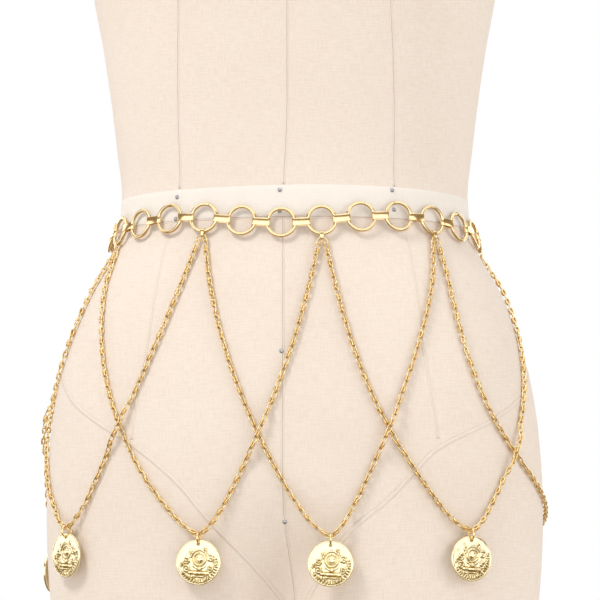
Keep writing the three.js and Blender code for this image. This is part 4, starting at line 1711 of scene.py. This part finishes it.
    def build(self) -> None:
        """Builds every pendant."""
        template = self.template()
        for number in range(1, self.count + 1):
            self.coin(number, template)
            self.jump_ring(number)
        bpy.data.meshes.remove(template)


# ---- The studio ----


@dataclass(frozen=True)
class AreaLight:
    """A soft rectangular light."""

    name: str
    azimuth: float
    elevation: float
    distance: float
    size: tuple[float, float]
    power: float


@dataclass
class Studio:
    """The camera at the photograph's viewing angle, the pale floor and the soft light."""

    azimuth: float = 4.0
    distance: float = 2.1
    height: float = 0.085
    pitch: float = 5.87
    side_shift: float = 0.00404
    lens: float = 171.4
    floor_radius: float = 2.6
    lights: tuple[AreaLight, ...] = (
        AreaLight("key", -40, 44, 2.4, (0.6, 0.6), 25.5),
        AreaLight("fill", 66, 8, 2.6, (2.0, 2.0), 22),
        AreaLight("back", 180, 40, 2.6, (1.8, 1.2), 12),
    )

    def camera(self) -> None:
        """Places the camera."""
        azimuth, pitch = math.radians(self.azimuth), math.radians(self.pitch)
        right = Vector((math.cos(azimuth), math.sin(azimuth), 0))
        back = Vector((math.sin(azimuth), -math.cos(azimuth), 0))
        look = -back * math.cos(pitch) + UP * math.sin(pitch)
        data = bpy.data.cameras.new("camera")
        data.lens, data.sensor_width = self.lens, 36.0
        data.clip_start, data.clip_end = 0.05, 50.0
        camera = bpy.data.objects.new("camera", data)
        camera.location = back * self.distance + right * self.side_shift + UP * self.height
        camera.rotation_euler = look.to_track_quat("-Z", "Y").to_euler()
        bpy.context.scene.collection.objects.link(camera)
        bpy.context.scene.camera = camera

    def floor(self) -> None:
        """A plain pale floor under the form."""
        bm = bmesh.new()
        bmesh.ops.create_circle(bm, cap_ends=True, radius=self.floor_radius, segments=96)
        mesh = bpy.data.meshes.new("floor")
        bm.to_mesh(mesh)
        bm.free()
        material = bpy.data.materials.new("pale_floor")
        material.use_nodes = True
        nodes = Nodes(material.node_tree)
        place = nodes.add("ShaderNodeTexCoord").outputs["Object"]
        colour = nodes.mix(nodes.noise(place, 3.0), (0.88, 0.88, 0.875, 1.0), (0.84, 0.84, 0.835, 1.0))
        shader = nodes.add("ShaderNodeBsdfPrincipled", {"Base Color": colour, "Roughness": 0.85})
        nodes.add("ShaderNodeOutputMaterial", {"Surface": shader.outputs[0]})
        mesh.materials.append(material)
        floor = bpy.data.objects.new("floor", mesh)
        floor.visible_glossy = False
        bpy.context.scene.collection.objects.link(floor)

    def world(self) -> None:
        """A white background, soft white light and a banded sky for the gold to reflect."""
        world = bpy.data.worlds.new("studio")
        world.use_nodes = True
        bpy.context.scene.world = world
        nodes = Nodes(world.node_tree)
        ray = nodes.add("ShaderNodeLightPath")
        way = nodes.add("ShaderNodeTexCoord").outputs["Generated"]
        parts = nodes.add("ShaderNodeSeparateXYZ", {"Vector": way})
        x, y, z = parts.outputs
        level = nodes.math("SUBTRACT", nodes.band(z, -0.42, -0.2), nodes.band(z, 0.4, 0.45))
        front = nodes.band(nodes.math("ABSOLUTE", y), 0.42, 0.5)
        faces = nodes.math("MAXIMUM", front, nodes.band(nodes.math("ABSOLUTE", x), 0.94, 0.97))
        top_box = nodes.band(z, 0.6, 0.65)
        boxes = nodes.math("MAXIMUM", nodes.math("MULTIPLY", faces, level), top_box)
        glow = nodes.math("MULTIPLY_ADD", boxes, 1.3, 0.3)
        sky = nodes.mix(boxes, (1.0, 0.72, 0.44, 1.0), (1.0, 0.985, 0.96, 1.0))
        soft = nodes.add("ShaderNodeBackground", {"Color": (1.0, 0.99, 0.985, 1.0), "Strength": 0.66})
        shiny = nodes.add("ShaderNodeBackground", {"Color": sky, "Strength": glow})
        white = nodes.add("ShaderNodeBackground", {"Color": (1.0, 1.0, 1.0, 1.0), "Strength": 1.0})
        lit = nodes.add(
            "ShaderNodeMixShader",
            {0: ray.outputs["Is Glossy Ray"], 1: soft.outputs[0], 2: shiny.outputs[0]},
        )
        seen = nodes.add(
            "ShaderNodeMixShader",
            {0: ray.outputs["Is Camera Ray"], 1: lit.outputs[0], 2: white.outputs[0]},
        )
        nodes.add("ShaderNodeOutputWorld", {"Surface": seen.outputs[0]})

    def area_lights(self) -> None:
        """The soft lights round the form."""
        target = Vector((0, 0, 0.28))
        for light in self.lights:
            azimuth, elevation = math.radians(light.azimuth), math.radians(light.elevation)
            level = math.cos(elevation)
            way = Vector(
                (math.sin(azimuth) * level, -math.cos(azimuth) * level, math.sin(elevation))
            )
            data = bpy.data.lights.new(light.name, "AREA")
            data.shape = "RECTANGLE"
            data.size, data.size_y = light.size
            data.energy = light.power
            lamp = bpy.data.objects.new(light.name, data)
            lamp.visible_glossy = False
            lamp.location = target + way * light.distance
            lamp.rotation_euler = (-way).to_track_quat("-Z", "Y").to_euler()
            bpy.context.scene.collection.objects.link(lamp)

    def build(self) -> None:
        """Builds the camera, floor, world and lights."""
        self.camera()
        self.floor()
        self.world()
        self.area_lights()
        bpy.context.scene.view_settings.view_transform = "Standard"
        bpy.context.scene.view_settings.look = "None"


def main() -> None:
    """Builds the studio, the form, the belt, the chains and the coins in order."""
    logging.basicConfig(level=logging.INFO, format="%(message)s")
    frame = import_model()
    Studio().build()
    shop = Workshop(make_finishes())
    DressForm(shop).build()
    belt = RingBelt(shop)
    belt.build()
    SwagChains(shop, belt).build()
    joints = {joint["name"]: joint for joint in frame["joints"]}
    CoinPendants(shop, joints).build()


if __name__ == "__main__":
    main()
